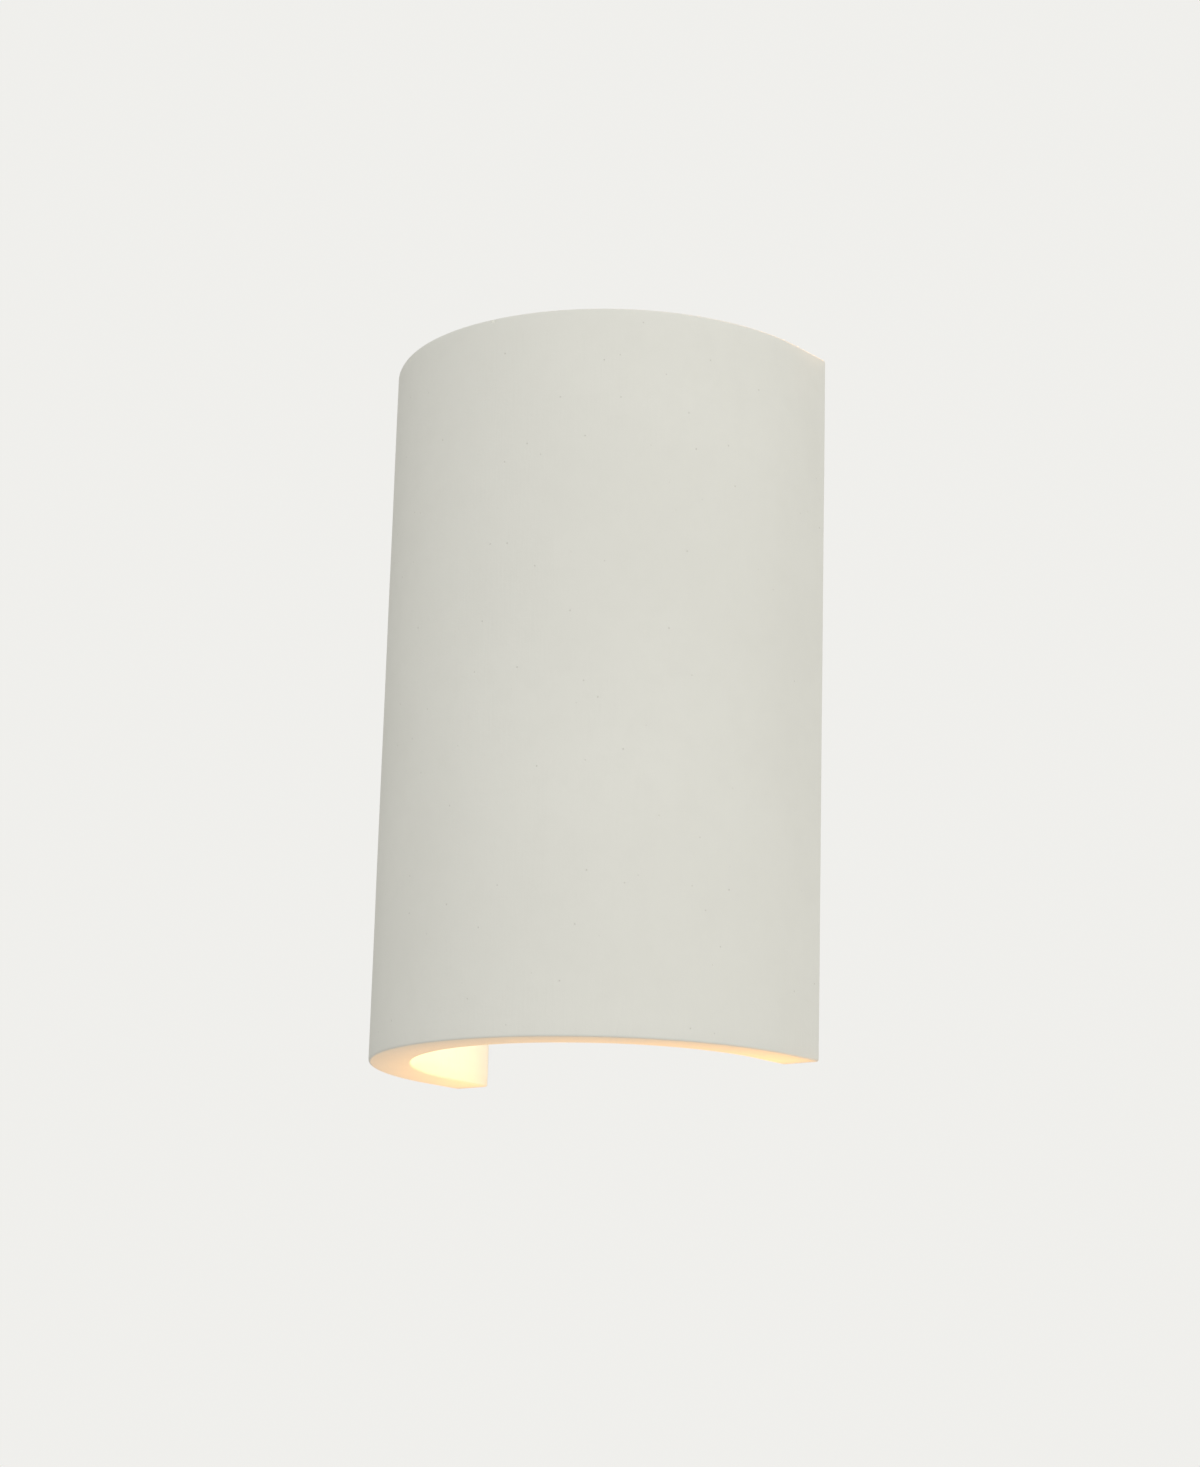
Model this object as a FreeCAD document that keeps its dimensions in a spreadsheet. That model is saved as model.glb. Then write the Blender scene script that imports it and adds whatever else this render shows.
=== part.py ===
"""Half-round plaster wall light, open at the top and the bottom, with a plug-in capsule lamp.

Frame: X runs across the light, +Y points into the wall and +Z points up. The origin lies on the
wall plane, midway between the two wall-fixing slots, level with the middle of the plaster shade.
A folded steel bracket is fixed to the wall and carries the terminals and the lampholder. The
plaster shade hangs on the bracket's two hooks and lifts off. Sizes are millimetres and degrees.
"""
import FreeCAD, Part
import math
import os
import Sketcher
from FreeCAD import Placement, Rotation, Vector

DRIVING_SIZES = {
    # plaster shade
    "shade_width": 115,
    "shade_straight": 13,
    "shade_height": 180,
    "shade_wall": 10.5,
    "shade_round": 1.5,
    "shade_wall_gap": 0.5,
    # folded wall bracket
    "bracket_side_gap": 5,
    "bracket_steel": 1.5,
    "bracket_above": 24,
    "bracket_below": 60,
    "bend_radius": 1.5,
    "flange_low_depth": 7,
    "flange_shoulder_drop": 18,
    "flange_corner": 3,
    "fixing_spacing": 60,
    "fixing_slot_width": 5,
    "fixing_slot_length": 11,
    "boss_height": 2,
    "boss_wall": 1.4,
    # hooks and hangers
    "hook_height": 14,
    "hook_front_wall": 7.5,
    "hook_clearance": 0.2,
    "hook_mouth": 1.6,
    "pin_diameter": 3,
    "pin_head_diameter": 6.4,
    "pin_head_height": 1.3,
    "pin_collar_diameter": 5.4,
    "pin_collar_height": 1.2,
    "pin_tenon_diameter": 2.4,
    "pin_side_gap": 0.3,
    "hanger_steel": 1.5,
    "hanger_width": 10,
    "hanger_height": 44,
    "hanger_corner": 3,
    "hanger_screw_pitch": 30,
    "insert_diameter": 5,
    "insert_length": 7,
    # cable entry and earth point
    "cable_hole_x": 27,
    "cable_hole_drop": 28,
    "cable_hole_diameter": 12,
    "cable_bore": 8,
    "bush_flange_diameter": 16,
    "bush_flange_height": 1.8,
    "bush_edge": 0.6,
    "earth_x": 27,
    "earth_drop": 28,
    "washer_thick": 0.7,
    "washer_diameter": 8,
    "washer_tooth_depth": 0.6,
    "washer_tooth_gap": 0.9,
    "ring_thick": 0.8,
    "ring_diameter": 8.4,
    "ring_neck_width": 2.4,
    "ring_neck_length": 1.2,
    "barrel_wall": 0.5,
    "barrel_length": 6,
    # terminal block
    "pole_pitch": 12,
    "pole_width": 6.8,
    "pole_bevel": 1,
    "block_height": 16,
    "block_depth": 13,
    "block_web": 3,
    "block_drop": 48,
    "clamp_width": 4,
    "clamp_length": 13,
    "clamp_bore": 2.6,
    "clamp_axis_depth": 5.5,
    "clamp_screw": 2.4,
    "clamp_screw_head": 3.8,
    "clamp_screw_shank": 4.2,
    "clamp_screw_sink": 1,
    "clamp_screw_pitch": 8,
    # lampholder arm
    "arm_steel": 1.2,
    "arm_width": 24,
    "arm_screw_pitch": 14,
    "arm_screw_drop": 12,
    "arm_leaf_above": 6,
    "shelf_drop": 26,
    "shelf_end": 2,
    "shelf_corner": 5,
    "lead_slot_length": 15,
    "lead_slot_width": 8,
    # lampholder
    "lamp_setback": 34,
    "holder_height": 17,
    "holder_flange": 3,
    "holder_flange_length": 34,
    "holder_flange_width": 15,
    "holder_length": 17,
    "holder_width": 14,
    "holder_corner": 3.5,
    "holder_bevel": 0.8,
    "holder_screw_pitch": 25,
    "wiring_recess_length": 13,
    "wiring_recess_width": 8,
    "contact_strip": 0.4,
    "contact_width": 3,
    "contact_gap": 0.15,
    "contact_foot": 4,
    "contact_tail_width": 1.6,
    "contact_tail_thick": 1,
    "contact_top_gap": 1.4,
    "contact_room": 0.6,
    "lead_entry": 1.4,
    "nut_across_flats": 5.5,
    "nut_height": 2.4,
    "bolt_end": 0.4,
    # lamp
    "pin_pitch": 9,
    "lamp_pin_wire": 0.9,
    "lamp_pin_loop": 2.1,
    "lamp_pin_length": 8,
    "lamp_neck_length": 13.4,
    "lamp_neck_width": 5.8,
    "lamp_neck_height": 2.4,
    "lamp_neck_room": 0.3,
    "lamp_seat_gap": 0.2,
    "lamp_diameter": 16,
    "lamp_base_height": 12,
    "lamp_foot_bevel": 0.8,
    "lamp_foot_height": 1.2,
    "lamp_collar_height": 2,
    "envelope_height": 36,
    "envelope_wall": 0.8,
    "core_across_flats": 7.6,
    "core_height": 28,
    "chip_width": 2.8,
    "chip_thick": 0.6,
    "chip_margin": 3,
    # leads and fasteners
    "lead_diameter": 2,
    "ferrule_diameter": 1.5,
    "ferrule_mouth_diameter": 2.2,
    "ferrule_mouth_length": 0.9,
    "ferrule_stand_off": 0.7,
    "ferrule_end_gap": 1,
    "large_screw": 4,
    "small_screw": 3,
    "screw_end_gap": 0.3,
    "slip_fit": 0.1,
}
CHIP_ROWS = 5
CORE_FACES = 6
WASHER_TEETH = 10

doc = FreeCAD.newDocument("plaster_wall_light")
sheet = doc.addObject("Spreadsheet::Sheet", "sizes")
for row, (alias, number) in enumerate(DRIVING_SIZES.items(), start=1):
    sheet.set(f"A{row}", alias.replace("_", " "))
    sheet.set(f"B{row}", str(number))
    sheet.setAlias(f"B{row}", alias)
doc.recompute()


class Size:
    """A length that knows its value and the sheet expression that it follows."""

    def __init__(self, value, text=None):
        self.value = float(value)
        self.text = text if text is not None else f"({self.value:.6f})"

    def __add__(self, other):
        other = as_size(other)
        return Size(self.value + other.value, f"({self.text} + {other.text})")

    def __sub__(self, other):
        other = as_size(other)
        return Size(self.value - other.value, f"({self.text} - {other.text})")

    def __rsub__(self, other):
        return as_size(other) - self

    def __mul__(self, number):
        return Size(self.value * number, f"({self.text} * {number})")

    def __truediv__(self, number):
        return Size(self.value / number, f"({self.text} / {number})")

    def __neg__(self):
        return Size(-self.value, f"(0 - {self.text})")

    __radd__ = __add__
    __rmul__ = __mul__


def as_size(value):
    """Return value as a Size."""
    return value if isinstance(value, Size) else Size(value)


def size(alias):
    """Return a driving size from the sheet."""
    return Size(sheet.get(alias), f"sizes.{alias}")


ZERO = Size(0)
TINY = 1e-9
DIRECTIONS = (Vector(1, 0, 0), Vector(0, 1, 0), Vector(0, 0, 1))

# The sub-parts, by label, in the order they are made.
subparts = {}


def new_body(label, base=(0, 0, 0), rotation=None):
    """Start a body whose placement follows the sheet."""
    body = doc.addObject("PartDesign::Body", label)
    body.Label = label
    place(body, base, rotation)
    subparts[label] = body
    return body


def place(item, base, rotation=None):
    """Put an object at base, a triple of sizes, turned by rotation, an axis and an angle."""
    base = [as_size(number) for number in base]
    turn = Rotation(Vector(*rotation[0]), rotation[1]) if rotation else Rotation()
    item.Placement = Placement(Vector(*[number.value for number in base]), turn)
    for axis, number in zip("xyz", base):
        item.setExpression(f"Placement.Base.{axis}", number.text)


def origin_feature(body, role):
    """Return one of a body's own origin planes or axes."""
    for feature in body.Origin.OriginFeatures:
        if feature.Role == role:
            return feature
    raise ValueError(role)


class Outline:
    """A sketch on one of a body's origin planes, whose points follow the sheet.

    Points are pairs of sizes in the plane: X and Y on XY_Plane, X and Z on XZ_Plane (which faces
    the room, -Y), Y and Z on YZ_Plane. The plane may be moved along its normal by offset.
    """

    def __init__(self, body, role, offset=ZERO):
        offset = as_size(offset)
        self.sketch = body.newObject("Sketcher::SketchObject", f"{body.Name}_outline")
        self.sketch.AttachmentSupport = [(origin_feature(body, role), "")]
        self.sketch.MapMode = "FlatFace"
        self.sketch.AttachmentOffset = Placement(Vector(0, 0, offset.value), Rotation())
        self.sketch.setExpression("AttachmentOffset.Base.z", offset.text)

    def fix(self, geometry, point, axis, number):
        """Hold one coordinate of a point at a size."""
        number = as_size(number)
        if abs(number.value) < TINY:
            line = -2 if axis == "X" else -1
            self.sketch.addConstraint(Sketcher.Constraint("PointOnObject", geometry, point, line))
            return
        kind = f"Distance{axis}"
        rule = Sketcher.Constraint(kind, -1, 1, geometry, point, number.value)
        index = self.sketch.addConstraint(rule)
        self.sketch.setExpression(f"Constraints[{index}]", number.text)

    def circle(self, x, y, diameter):
        """Add a circle."""
        x, y, diameter = as_size(x), as_size(y), as_size(diameter)
        shape = Part.Circle(Vector(x.value, y.value, 0), Vector(0, 0, 1), diameter.value / 2)
        index = self.sketch.addGeometry(shape, False)
        self.fix(index, 3, "X", x)
        self.fix(index, 3, "Y", y)
        rule = self.sketch.addConstraint(Sketcher.Constraint("Diameter", index, diameter.value))
        self.sketch.setExpression(f"Constraints[{rule}]", diameter.text)
        return self

    def loop(self, *corners):
        """Add a closed loop of lines and arcs.

        A corner is (x, y) for a line to the next corner, or (x, y, centre_x, centre_y, "ccw" or
        "cw") for an arc about that centre to the next corner.
        """
        count = len(corners)
        edges = []
        for number, corner in enumerate(corners):
            following = corners[(number + 1) % count]
            start = Vector(as_size(corner[0]).value, as_size(corner[1]).value, 0)
            end = Vector(as_size(following[0]).value, as_size(following[1]).value, 0)
            if len(corner) == 2:
                index = self.sketch.addGeometry(Part.LineSegment(start, end), False)
                edges.append((index, 1, 2))
                continue
            centre = Vector(as_size(corner[2]).value, as_size(corner[3]).value, 0)
            first, last = (start, end) if corner[4] == "ccw" else (end, start)
            begin = math.atan2(first.y - centre.y, first.x - centre.x)
            finish = math.atan2(last.y - centre.y, last.x - centre.x)
            whole = Part.Circle(centre, Vector(0, 0, 1), (start - centre).Length)
            index = self.sketch.addGeometry(Part.ArcOfCircle(whole, begin, finish), False)
            edges.append((index, 1, 2) if corner[4] == "ccw" else (index, 2, 1))
        for number, corner in enumerate(corners):
            index, start, end = edges[number]
            following, next_start, _ = edges[(number + 1) % count]
            join = Sketcher.Constraint("Coincident", index, end, following, next_start)
            self.sketch.addConstraint(join)
            self.fix(index, start, "X", corner[0])
            self.fix(index, start, "Y", corner[1])
            if len(corner) > 2:
                span_x = abs(as_size(corner[0]).value - as_size(corners[(number + 1) % count][0]).value)
                span_y = abs(as_size(corner[1]).value - as_size(corners[(number + 1) % count][1]).value)
                free = ("Y", corner[3]) if span_x > span_y else ("X", corner[2])
                self.fix(index, 3, *free)
        return self

    def box(self, x, y, width, height):
        """Add a rectangle centred on x, y."""
        x, y, half, rise = as_size(x), as_size(y), as_size(width) / 2, as_size(height) / 2
        return self.loop((x - half, y - rise), (x + half, y - rise),
                         (x + half, y + rise), (x - half, y + rise))

    def slot(self, x, y, length, width, upright=False):
        """Add a round-ended slot along the sketch's first axis, or its second if upright."""
        x, y = as_size(x), as_size(y)
        reach = (as_size(length) - as_size(width)) / 2
        half = as_size(width) / 2
        if upright:
            return self.loop((x + half, y - reach), (x + half, y + reach, x, y + reach, "ccw"),
                             (x - half, y + reach), (x - half, y - reach, x, y - reach, "ccw"))
        return self.loop((x - reach, y - half), (x + reach, y - half, x + reach, y, "ccw"),
                         (x + reach, y + half), (x - reach, y + half, x - reach, y, "ccw"))


def finish_feature(body, feature):
    """Recompute and make a feature the body's tip."""
    body.Tip = feature
    doc.recompute()
    return feature


def pad(body, outline, length, centred=False, backwards=False):
    """Extrude an outline along its plane's normal."""
    feature = body.newObject("PartDesign::Pad", f"{body.Name}_pad")
    feature.Profile = outline.sketch
    feature.Length = as_size(length).value
    feature.setExpression("Length", as_size(length).text)
    feature.Midplane = centred
    feature.Reversed = backwards
    return finish_feature(body, feature)


def pocket(body, outline, length, centred=False, forwards=True):
    """Cut an outline along its plane's normal, and check that something was cut."""
    before = body.Shape.Volume
    feature = body.newObject("PartDesign::Pocket", f"{body.Name}_pocket")
    feature.Profile = outline.sketch
    feature.Length = as_size(length).value
    feature.setExpression("Length", as_size(length).text)
    feature.Midplane = centred
    feature.Reversed = forwards and not centred
    finish_feature(body, feature)
    if body.Shape.Volume > before - 1e-6:
        raise ValueError(f"{body.Label}: a pocket cuts nothing")
    return feature


def revolve(body, outline, role, base=None, kind="Revolution"):
    """Turn an outline, or cut it as a Groove, all the way round an origin axis or its own edge."""
    feature = body.newObject(f"PartDesign::{kind}", f"{body.Name}_turned")
    feature.Profile = outline.sketch
    feature.ReferenceAxis = base if base else (origin_feature(body, role), [""])
    feature.Angle = 360
    return finish_feature(body, feature)


def edges_where(body, test):
    """Return the names of the edges of a body's tip that pass a test."""
    edges = body.Tip.Shape.Edges
    return [f"Edge{number}" for number, edge in enumerate(edges, start=1) if test(edge)]


def dress(body, kind, amount, test):
    """Round or bevel the edges that pass a test."""
    base = body.Tip
    names = edges_where(body, test)
    if not names:
        raise ValueError(f"{body.Label}: no edge to dress")
    feature = body.newObject(f"PartDesign::{kind}", f"{body.Name}_{kind.lower()}")
    feature.Base = (base, names)
    target = "Radius" if kind == "Fillet" else "Size"
    setattr(feature, target, as_size(amount).value)
    feature.setExpression(target, as_size(amount).text)
    return finish_feature(body, feature)


def repeat(body, originals, mirror=None, rows=()):
    """Mirror features about an origin plane and repeat them in rows of (axis, length, count)."""
    feature = body.newObject("PartDesign::MultiTransform", f"{body.Name}_repeat")
    feature.Originals = originals
    steps = []
    if mirror:
        step = body.newObject("PartDesign::Mirrored", f"{body.Name}_mirror")
        step.MirrorPlane = (origin_feature(body, mirror), [""])
        steps.append(step)
    for axis, length, count in rows:
        kind = "PolarPattern" if axis.endswith("turn") else "LinearPattern"
        step = body.newObject(f"PartDesign::{kind}", f"{body.Name}_row")
        if kind == "PolarPattern":
            step.Axis = (origin_feature(body, axis.replace("turn", "Axis")), [""])
            step.Angle = length
        else:
            step.Direction = (origin_feature(body, axis), [""])
            step.Length = as_size(length).value
            step.setExpression("Length", as_size(length).text)
        step.Occurrences = count
        steps.append(step)
    feature.Transformations = steps
    return finish_feature(body, feature)


def along(edge, axis):
    """Tell whether an edge is a straight one along an axis, given as 0, 1 or 2."""
    if not isinstance(edge.Curve, (Part.Line, Part.LineSegment)):
        return False
    ends = [vertex.Point for vertex in edge.Vertexes]
    run = ends[1] - ends[0]
    return abs(abs(run.dot(DIRECTIONS[axis])) - run.Length) < 1e-6


def level(edge, axis, height):
    """Tell whether an edge lies in the plane at a height along an axis, given as 0, 1 or 2."""
    box = edge.BoundBox
    low = (box.XMin, box.YMin, box.ZMin)[axis]
    high = (box.XMax, box.YMax, box.ZMax)[axis]
    return abs(low - height.value) < 1e-4 and abs(high - height.value) < 1e-4


def corner_at(edge, axis, *places):
    """Tell whether a straight edge along an axis stands on one of some (a, b) places.

    The places give the two other coordinates, in X, Y, Z order.
    """
    if not along(edge, axis):
        return False
    point = edge.Vertexes[0].Point
    found = [number for index, number in enumerate((point.x, point.y, point.z)) if index != axis]
    return any(abs(found[0] - as_size(a).value) < 1e-3 and abs(found[1] - as_size(b).value) < 1e-3
               for a, b in places)


SLIP = size("slip_fit")

# How far a cut runs past the face that it leaves by.
CUT_SPARE = 1

# Levels and depths that several pieces share.
BOSS_FACE = size("bracket_steel") + size("boss_height")
SPRING_Y = -(size("shade_wall_gap") + size("shade_straight"))
HOOK_Y = SPRING_Y + size("hanger_width") / 2
HOOK_Z = size("hook_height")
FLANGE_FRONT = HOOK_Y - size("hook_front_wall")
INNER_HALF = size("shade_width") / 2 - size("shade_wall")
HANGER_FACE = INNER_HALF - size("hanger_steel")
FLANGE_OUTSIDE = INNER_HALF - size("bracket_side_gap")
FLANGE_INSIDE = FLANGE_OUTSIDE - size("bracket_steel")
SHELF_TOP = -size("shelf_drop")
SHELF_UNDERSIDE = SHELF_TOP - size("arm_steel")
BLOCK_Z = -size("block_drop")
BLOCK_UNDERSIDE = BLOCK_Z - size("block_height") / 2
CLAMP_Y = -(BOSS_FACE + size("clamp_axis_depth"))
LAMP_Y = -size("lamp_setback")
LAMP_SEAT = SHELF_TOP + size("holder_height") + size("lamp_seat_gap")
CABLE_X = -size("cable_hole_x")
CABLE_Z = -size("cable_hole_drop")
EARTH_X = size("earth_x")
EARTH_Z = -size("earth_drop")
SMALL_CLEARANCE_HOLE = size("small_screw") + SLIP * 2
LARGE_CLEARANCE_HOLE = size("large_screw") + SLIP * 2
QUARTER_TURN = ((0, 0, 1), 90)


# ---------------------------------------------------------------- plaster shade

def plaster_shade():
    """Cast the half-round shade: a stilted arch in plan, open at both ends."""
    body = new_body("plaster_shade", (0, -size("shade_wall_gap"), 0))
    half = size("shade_width") / 2
    spring = SPRING_Y + size("shade_wall_gap")
    arch = Outline(body, "XY_Plane").loop(
        (-half, ZERO), (-half, spring, ZERO, spring, "ccw"), (half, spring), (half, ZERO),
        (INNER_HALF, ZERO), (INNER_HALF, spring, ZERO, spring, "cw"),
        (-INNER_HALF, spring), (-INNER_HALF, ZERO))
    pad(body, arch, size("shade_height"), centred=True)
    sockets = Outline(body, "YZ_Plane")
    for side in (-1, 1):
        sockets.circle(HOOK_Y + size("shade_wall_gap"), HOOK_Z + size("hanger_screw_pitch") / 2 * side,
                       size("insert_diameter"))
    pocket(body, sockets, (INNER_HALF + size("insert_length")) * 2, centred=True)
    rise = size("shade_height") / 2
    dress(body, "Fillet", size("shade_round"),
          lambda edge: level(edge, 2, rise) or level(edge, 2, -rise)
          or corner_at(edge, 2, (half, 0), (-half, 0), (INNER_HALF, 0), (-INNER_HALF, 0)))


# ---------------------------------------------------------------- wall bracket

def wall_bracket():
    """Fold the wall bracket: a channel with two hooked flanges, slots and tapped bosses."""
    body = new_body("wall_bracket")
    steel = size("bracket_steel")
    outer_bend = size("bend_radius") + steel
    side, inside = FLANGE_OUTSIDE, FLANGE_INSIDE
    bend_x, bend_y = side - outer_bend, -outer_bend
    front = FLANGE_FRONT
    channel = Outline(body, "XY_Plane", -size("bracket_below")).loop(
        (-side, front), (-inside, front), (-inside, bend_y, -bend_x, bend_y, "cw"),
        (-bend_x, -steel), (bend_x, -steel, bend_x, bend_y, "cw"), (inside, bend_y),
        (inside, front), (side, front), (side, bend_y, bend_x, bend_y, "ccw"),
        (bend_x, ZERO), (-bend_x, ZERO, -bend_x, bend_y, "ccw"), (-side, bend_y))
    pad(body, channel, size("bracket_above") + size("bracket_below"))

    low_front = -size("flange_low_depth")
    shoulder = -size("flange_shoulder_drop")
    low_end = -size("bracket_below") - CUT_SPARE
    waste = Outline(body, "YZ_Plane").loop(
        (front - CUT_SPARE, low_end), (low_front, low_end), (low_front, shoulder + front - low_front),
        (front, shoulder), (front - CUT_SPARE, shoulder))
    pocket(body, waste, FLANGE_OUTSIDE * 2 + CUT_SPARE, centred=True)

    notch = size("pin_diameter") / 2 + size("hook_clearance")
    mouth = notch + size("hook_mouth")
    top = size("bracket_above")
    hooks = Outline(body, "YZ_Plane").loop(
        (HOOK_Y - notch, HOOK_Z, HOOK_Y, HOOK_Z, "ccw"), (HOOK_Y + notch, HOOK_Z),
        (HOOK_Y + notch, top - size("hook_mouth")), (HOOK_Y + mouth, top),
        (HOOK_Y + mouth, top + CUT_SPARE), (HOOK_Y - mouth, top + CUT_SPARE),
        (HOOK_Y - mouth, top), (HOOK_Y - notch, top - size("hook_mouth")))
    pocket(body, hooks, FLANGE_OUTSIDE * 2 + CUT_SPARE, centred=True)

    bosses = Outline(body, "XZ_Plane", steel / 2)
    for x, z, tap in boss_places():
        bosses.circle(x, z, tap + size("boss_wall") * 2)
    pad(body, bosses, steel / 2 + size("boss_height"))

    openings = Outline(body, "XZ_Plane")
    for end in (-1, 1):
        openings.slot(size("fixing_spacing") / 2 * end, ZERO,
                      size("fixing_slot_length"), size("fixing_slot_width"))
    openings.circle(CABLE_X, CABLE_Z, size("cable_hole_diameter"))
    for x, z, tap in boss_places():
        openings.circle(x, z, tap)
    pocket(body, openings, BOSS_FACE + CUT_SPARE)

    dress(body, "Fillet", size("flange_corner"),
          lambda edge: any(corner_at(edge, 0, (front, height)) for height in (top, shoulder))
          or corner_at(edge, 1, (bend_x, top)))


def boss_places():
    """Return each tapped boss as its x, its z and its thread's hole."""
    large = size("large_screw") + SLIP
    small = size("small_screw") + SLIP
    places = [(EARTH_X, EARTH_Z, large)]
    for end in (-1, 1):
        places.append((size("arm_screw_pitch") / 2 * end, -size("arm_screw_drop"), large))
        places.append((size("pole_pitch") / 2 * end, BLOCK_Z, small))
    return places


# ---------------------------------------------------------------- fasteners

# A screw head's radius and height as shares of the thread's diameter.
HEAD_SPREAD = 0.93
HEAD_RISE = 0.68


def screw_group(label, thread, length, base, x=ZERO, seat=ZERO, rotation=None, mirror=None, rows=()):
    """Turn a cheese-head screw along Y and copy it.

    The head stands off the seat towards -Y and the shank runs to +Y, for the length given.
    """
    body = new_body(label, base, rotation)
    x, seat = as_size(x), as_size(seat)
    head, top = x + thread * HEAD_SPREAD, seat - thread * HEAD_RISE
    shank, tip = x + thread / 2 - SLIP / 2, seat + length
    profile = Outline(body, "XY_Plane").loop(
        (x, tip), (x, top), (head, top), (head, seat), (shank, seat), (shank, tip))
    turned = revolve(body, profile, None, (profile.sketch, ["Edge1"]))
    if mirror or rows:
        repeat(body, [turned], mirror, rows)


def hexagon(outline, x, y, across_flats):
    """Add a hexagon with two flats facing along the sketch's second axis."""
    x, y, reach = as_size(x), as_size(y), as_size(across_flats) / math.sqrt(3)
    corners = []
    for number in range(6):
        angle = number * math.pi / 3
        corners.append((x + reach * math.cos(angle), y + reach * math.sin(angle)))
    return outline.loop(*corners)


# ---------------------------------------------------------------- hangers on the shade

def hanger_plate(label, side):
    """Cut one steel hanger plate, which lies on the flat of the shade's inner wall."""
    body = new_body(label)
    start = HANGER_FACE if side > 0 else -INNER_HALF
    plate = Outline(body, "YZ_Plane", start)
    plate.box(HOOK_Y, HOOK_Z, size("hanger_width"), size("hanger_height"))
    plate.circle(HOOK_Y, HOOK_Z, size("pin_tenon_diameter") + SLIP)
    for end in (-1, 1):
        plate.circle(HOOK_Y, HOOK_Z + size("hanger_screw_pitch") / 2 * end, SMALL_CLEARANCE_HOLE)
    pad(body, plate, size("hanger_steel"))
    half, rise = size("hanger_width") / 2, size("hanger_height") / 2
    dress(body, "Fillet", size("hanger_corner"),
          lambda edge: corner_at(edge, 0, (HOOK_Y - half, HOOK_Z - rise), (HOOK_Y + half, HOOK_Z - rise),
                                 (HOOK_Y - half, HOOK_Z + rise), (HOOK_Y + half, HOOK_Z + rise)))


def hanger_pins():
    """Turn the two shouldered pins that the shade hangs by, riveted through the hanger plates."""
    body = new_body("hanger_pins", (0, HOOK_Y, HOOK_Z))
    head_face = FLANGE_INSIDE - size("pin_side_gap")
    inner_end = head_face - size("pin_head_height")
    collar = HANGER_FACE - size("pin_collar_height")
    profile = Outline(body, "XY_Plane").loop(
        (inner_end, ZERO), (inner_end, size("pin_head_diameter") / 2),
        (head_face, size("pin_head_diameter") / 2), (head_face, size("pin_diameter") / 2),
        (collar, size("pin_diameter") / 2), (collar, size("pin_collar_diameter") / 2),
        (HANGER_FACE, size("pin_collar_diameter") / 2), (HANGER_FACE, size("pin_tenon_diameter") / 2),
        (INNER_HALF, size("pin_tenon_diameter") / 2), (INNER_HALF, ZERO))
    turned = revolve(body, profile, "X_Axis")
    repeat(body, [turned], mirror="YZ_Plane")


def hanger_inserts():
    """Press the four brass inserts that are bonded into the plaster."""
    body = new_body("hanger_inserts")
    rings = Outline(body, "YZ_Plane", INNER_HALF)
    for end in (-1, 1):
        height = HOOK_Z + size("hanger_screw_pitch") / 2 * end
        rings.circle(HOOK_Y, height, size("insert_diameter") - SLIP)
        rings.circle(HOOK_Y, height, size("small_screw") + SLIP)
    ring = pad(body, rings, size("insert_length"))
    repeat(body, [ring], mirror="YZ_Plane")


def hanger_screws():
    """Make the four screws that hold the hanger plates to the inserts."""
    length = size("insert_length") + size("hanger_steel") - size("screw_end_gap")
    screw_group("hanger_screws", size("small_screw"), length, (0, 0, HOOK_Z - size("hanger_screw_pitch") / 2),
                x=-HOOK_Y, seat=HANGER_FACE, rotation=((0, 0, 1), -90), mirror="XZ_Plane",
                rows=[("Z_Axis", size("hanger_screw_pitch"), 2)])


# ---------------------------------------------------------------- cable entry and earth point

RING_RADIUS = size("ring_diameter") / 2
BARREL_RADIUS = size("lead_diameter") / 2 + SLIP + size("barrel_wall")
BARREL_TOP = -(RING_RADIUS + size("ring_neck_length"))
EARTH_STACK = BOSS_FACE + size("ring_thick") + size("washer_thick")
EARTH_LEAD_Y = -(BOSS_FACE + BARREL_RADIUS)


def cable_bush():
    """Turn the rubber bush that lines the cable hole."""
    body = new_body("cable_bush", (CABLE_X, 0, CABLE_Z))
    bore = size("cable_bore") / 2
    neck = size("cable_hole_diameter") / 2 - SLIP / 2
    rim = size("bush_flange_diameter") / 2
    back = -size("bracket_steel")
    front = back - size("bush_flange_height")
    edge = size("bush_edge")
    profile = Outline(body, "XY_Plane").loop(
        (bore, ZERO), (neck, ZERO), (neck, back), (rim, back), (rim, front + edge),
        (rim - edge, front), (bore + edge, front), (bore, front + edge))
    revolve(body, profile, "Y_Axis")


def earth_ring_terminal():
    """Form the earth lead's ring terminal: a ring, a neck and a crimped barrel."""
    body = new_body("earth_ring_terminal", (EARTH_X, -BOSS_FACE, EARTH_Z))
    ring = Outline(body, "XZ_Plane").circle(ZERO, ZERO, size("ring_diameter"))
    pad(body, ring, size("ring_thick"))
    half = size("ring_neck_width") / 2
    neck = Outline(body, "XZ_Plane").loop(
        (-half, BARREL_TOP - CUT_SPARE), (half, BARREL_TOP - CUT_SPARE),
        (half, -RING_RADIUS + CUT_SPARE), (-half, -RING_RADIUS + CUT_SPARE))
    pad(body, neck, size("ring_thick"))
    barrel = Outline(body, "XY_Plane", BARREL_TOP - size("barrel_length"))
    barrel.circle(ZERO, -BARREL_RADIUS, BARREL_RADIUS * 2)
    barrel.circle(ZERO, -BARREL_RADIUS, size("lead_diameter") + SLIP * 2)
    pad(body, barrel, size("barrel_length"))
    hole = Outline(body, "XZ_Plane").circle(ZERO, ZERO, LARGE_CLEARANCE_HOLE)
    pocket(body, hole, size("ring_thick"))


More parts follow.
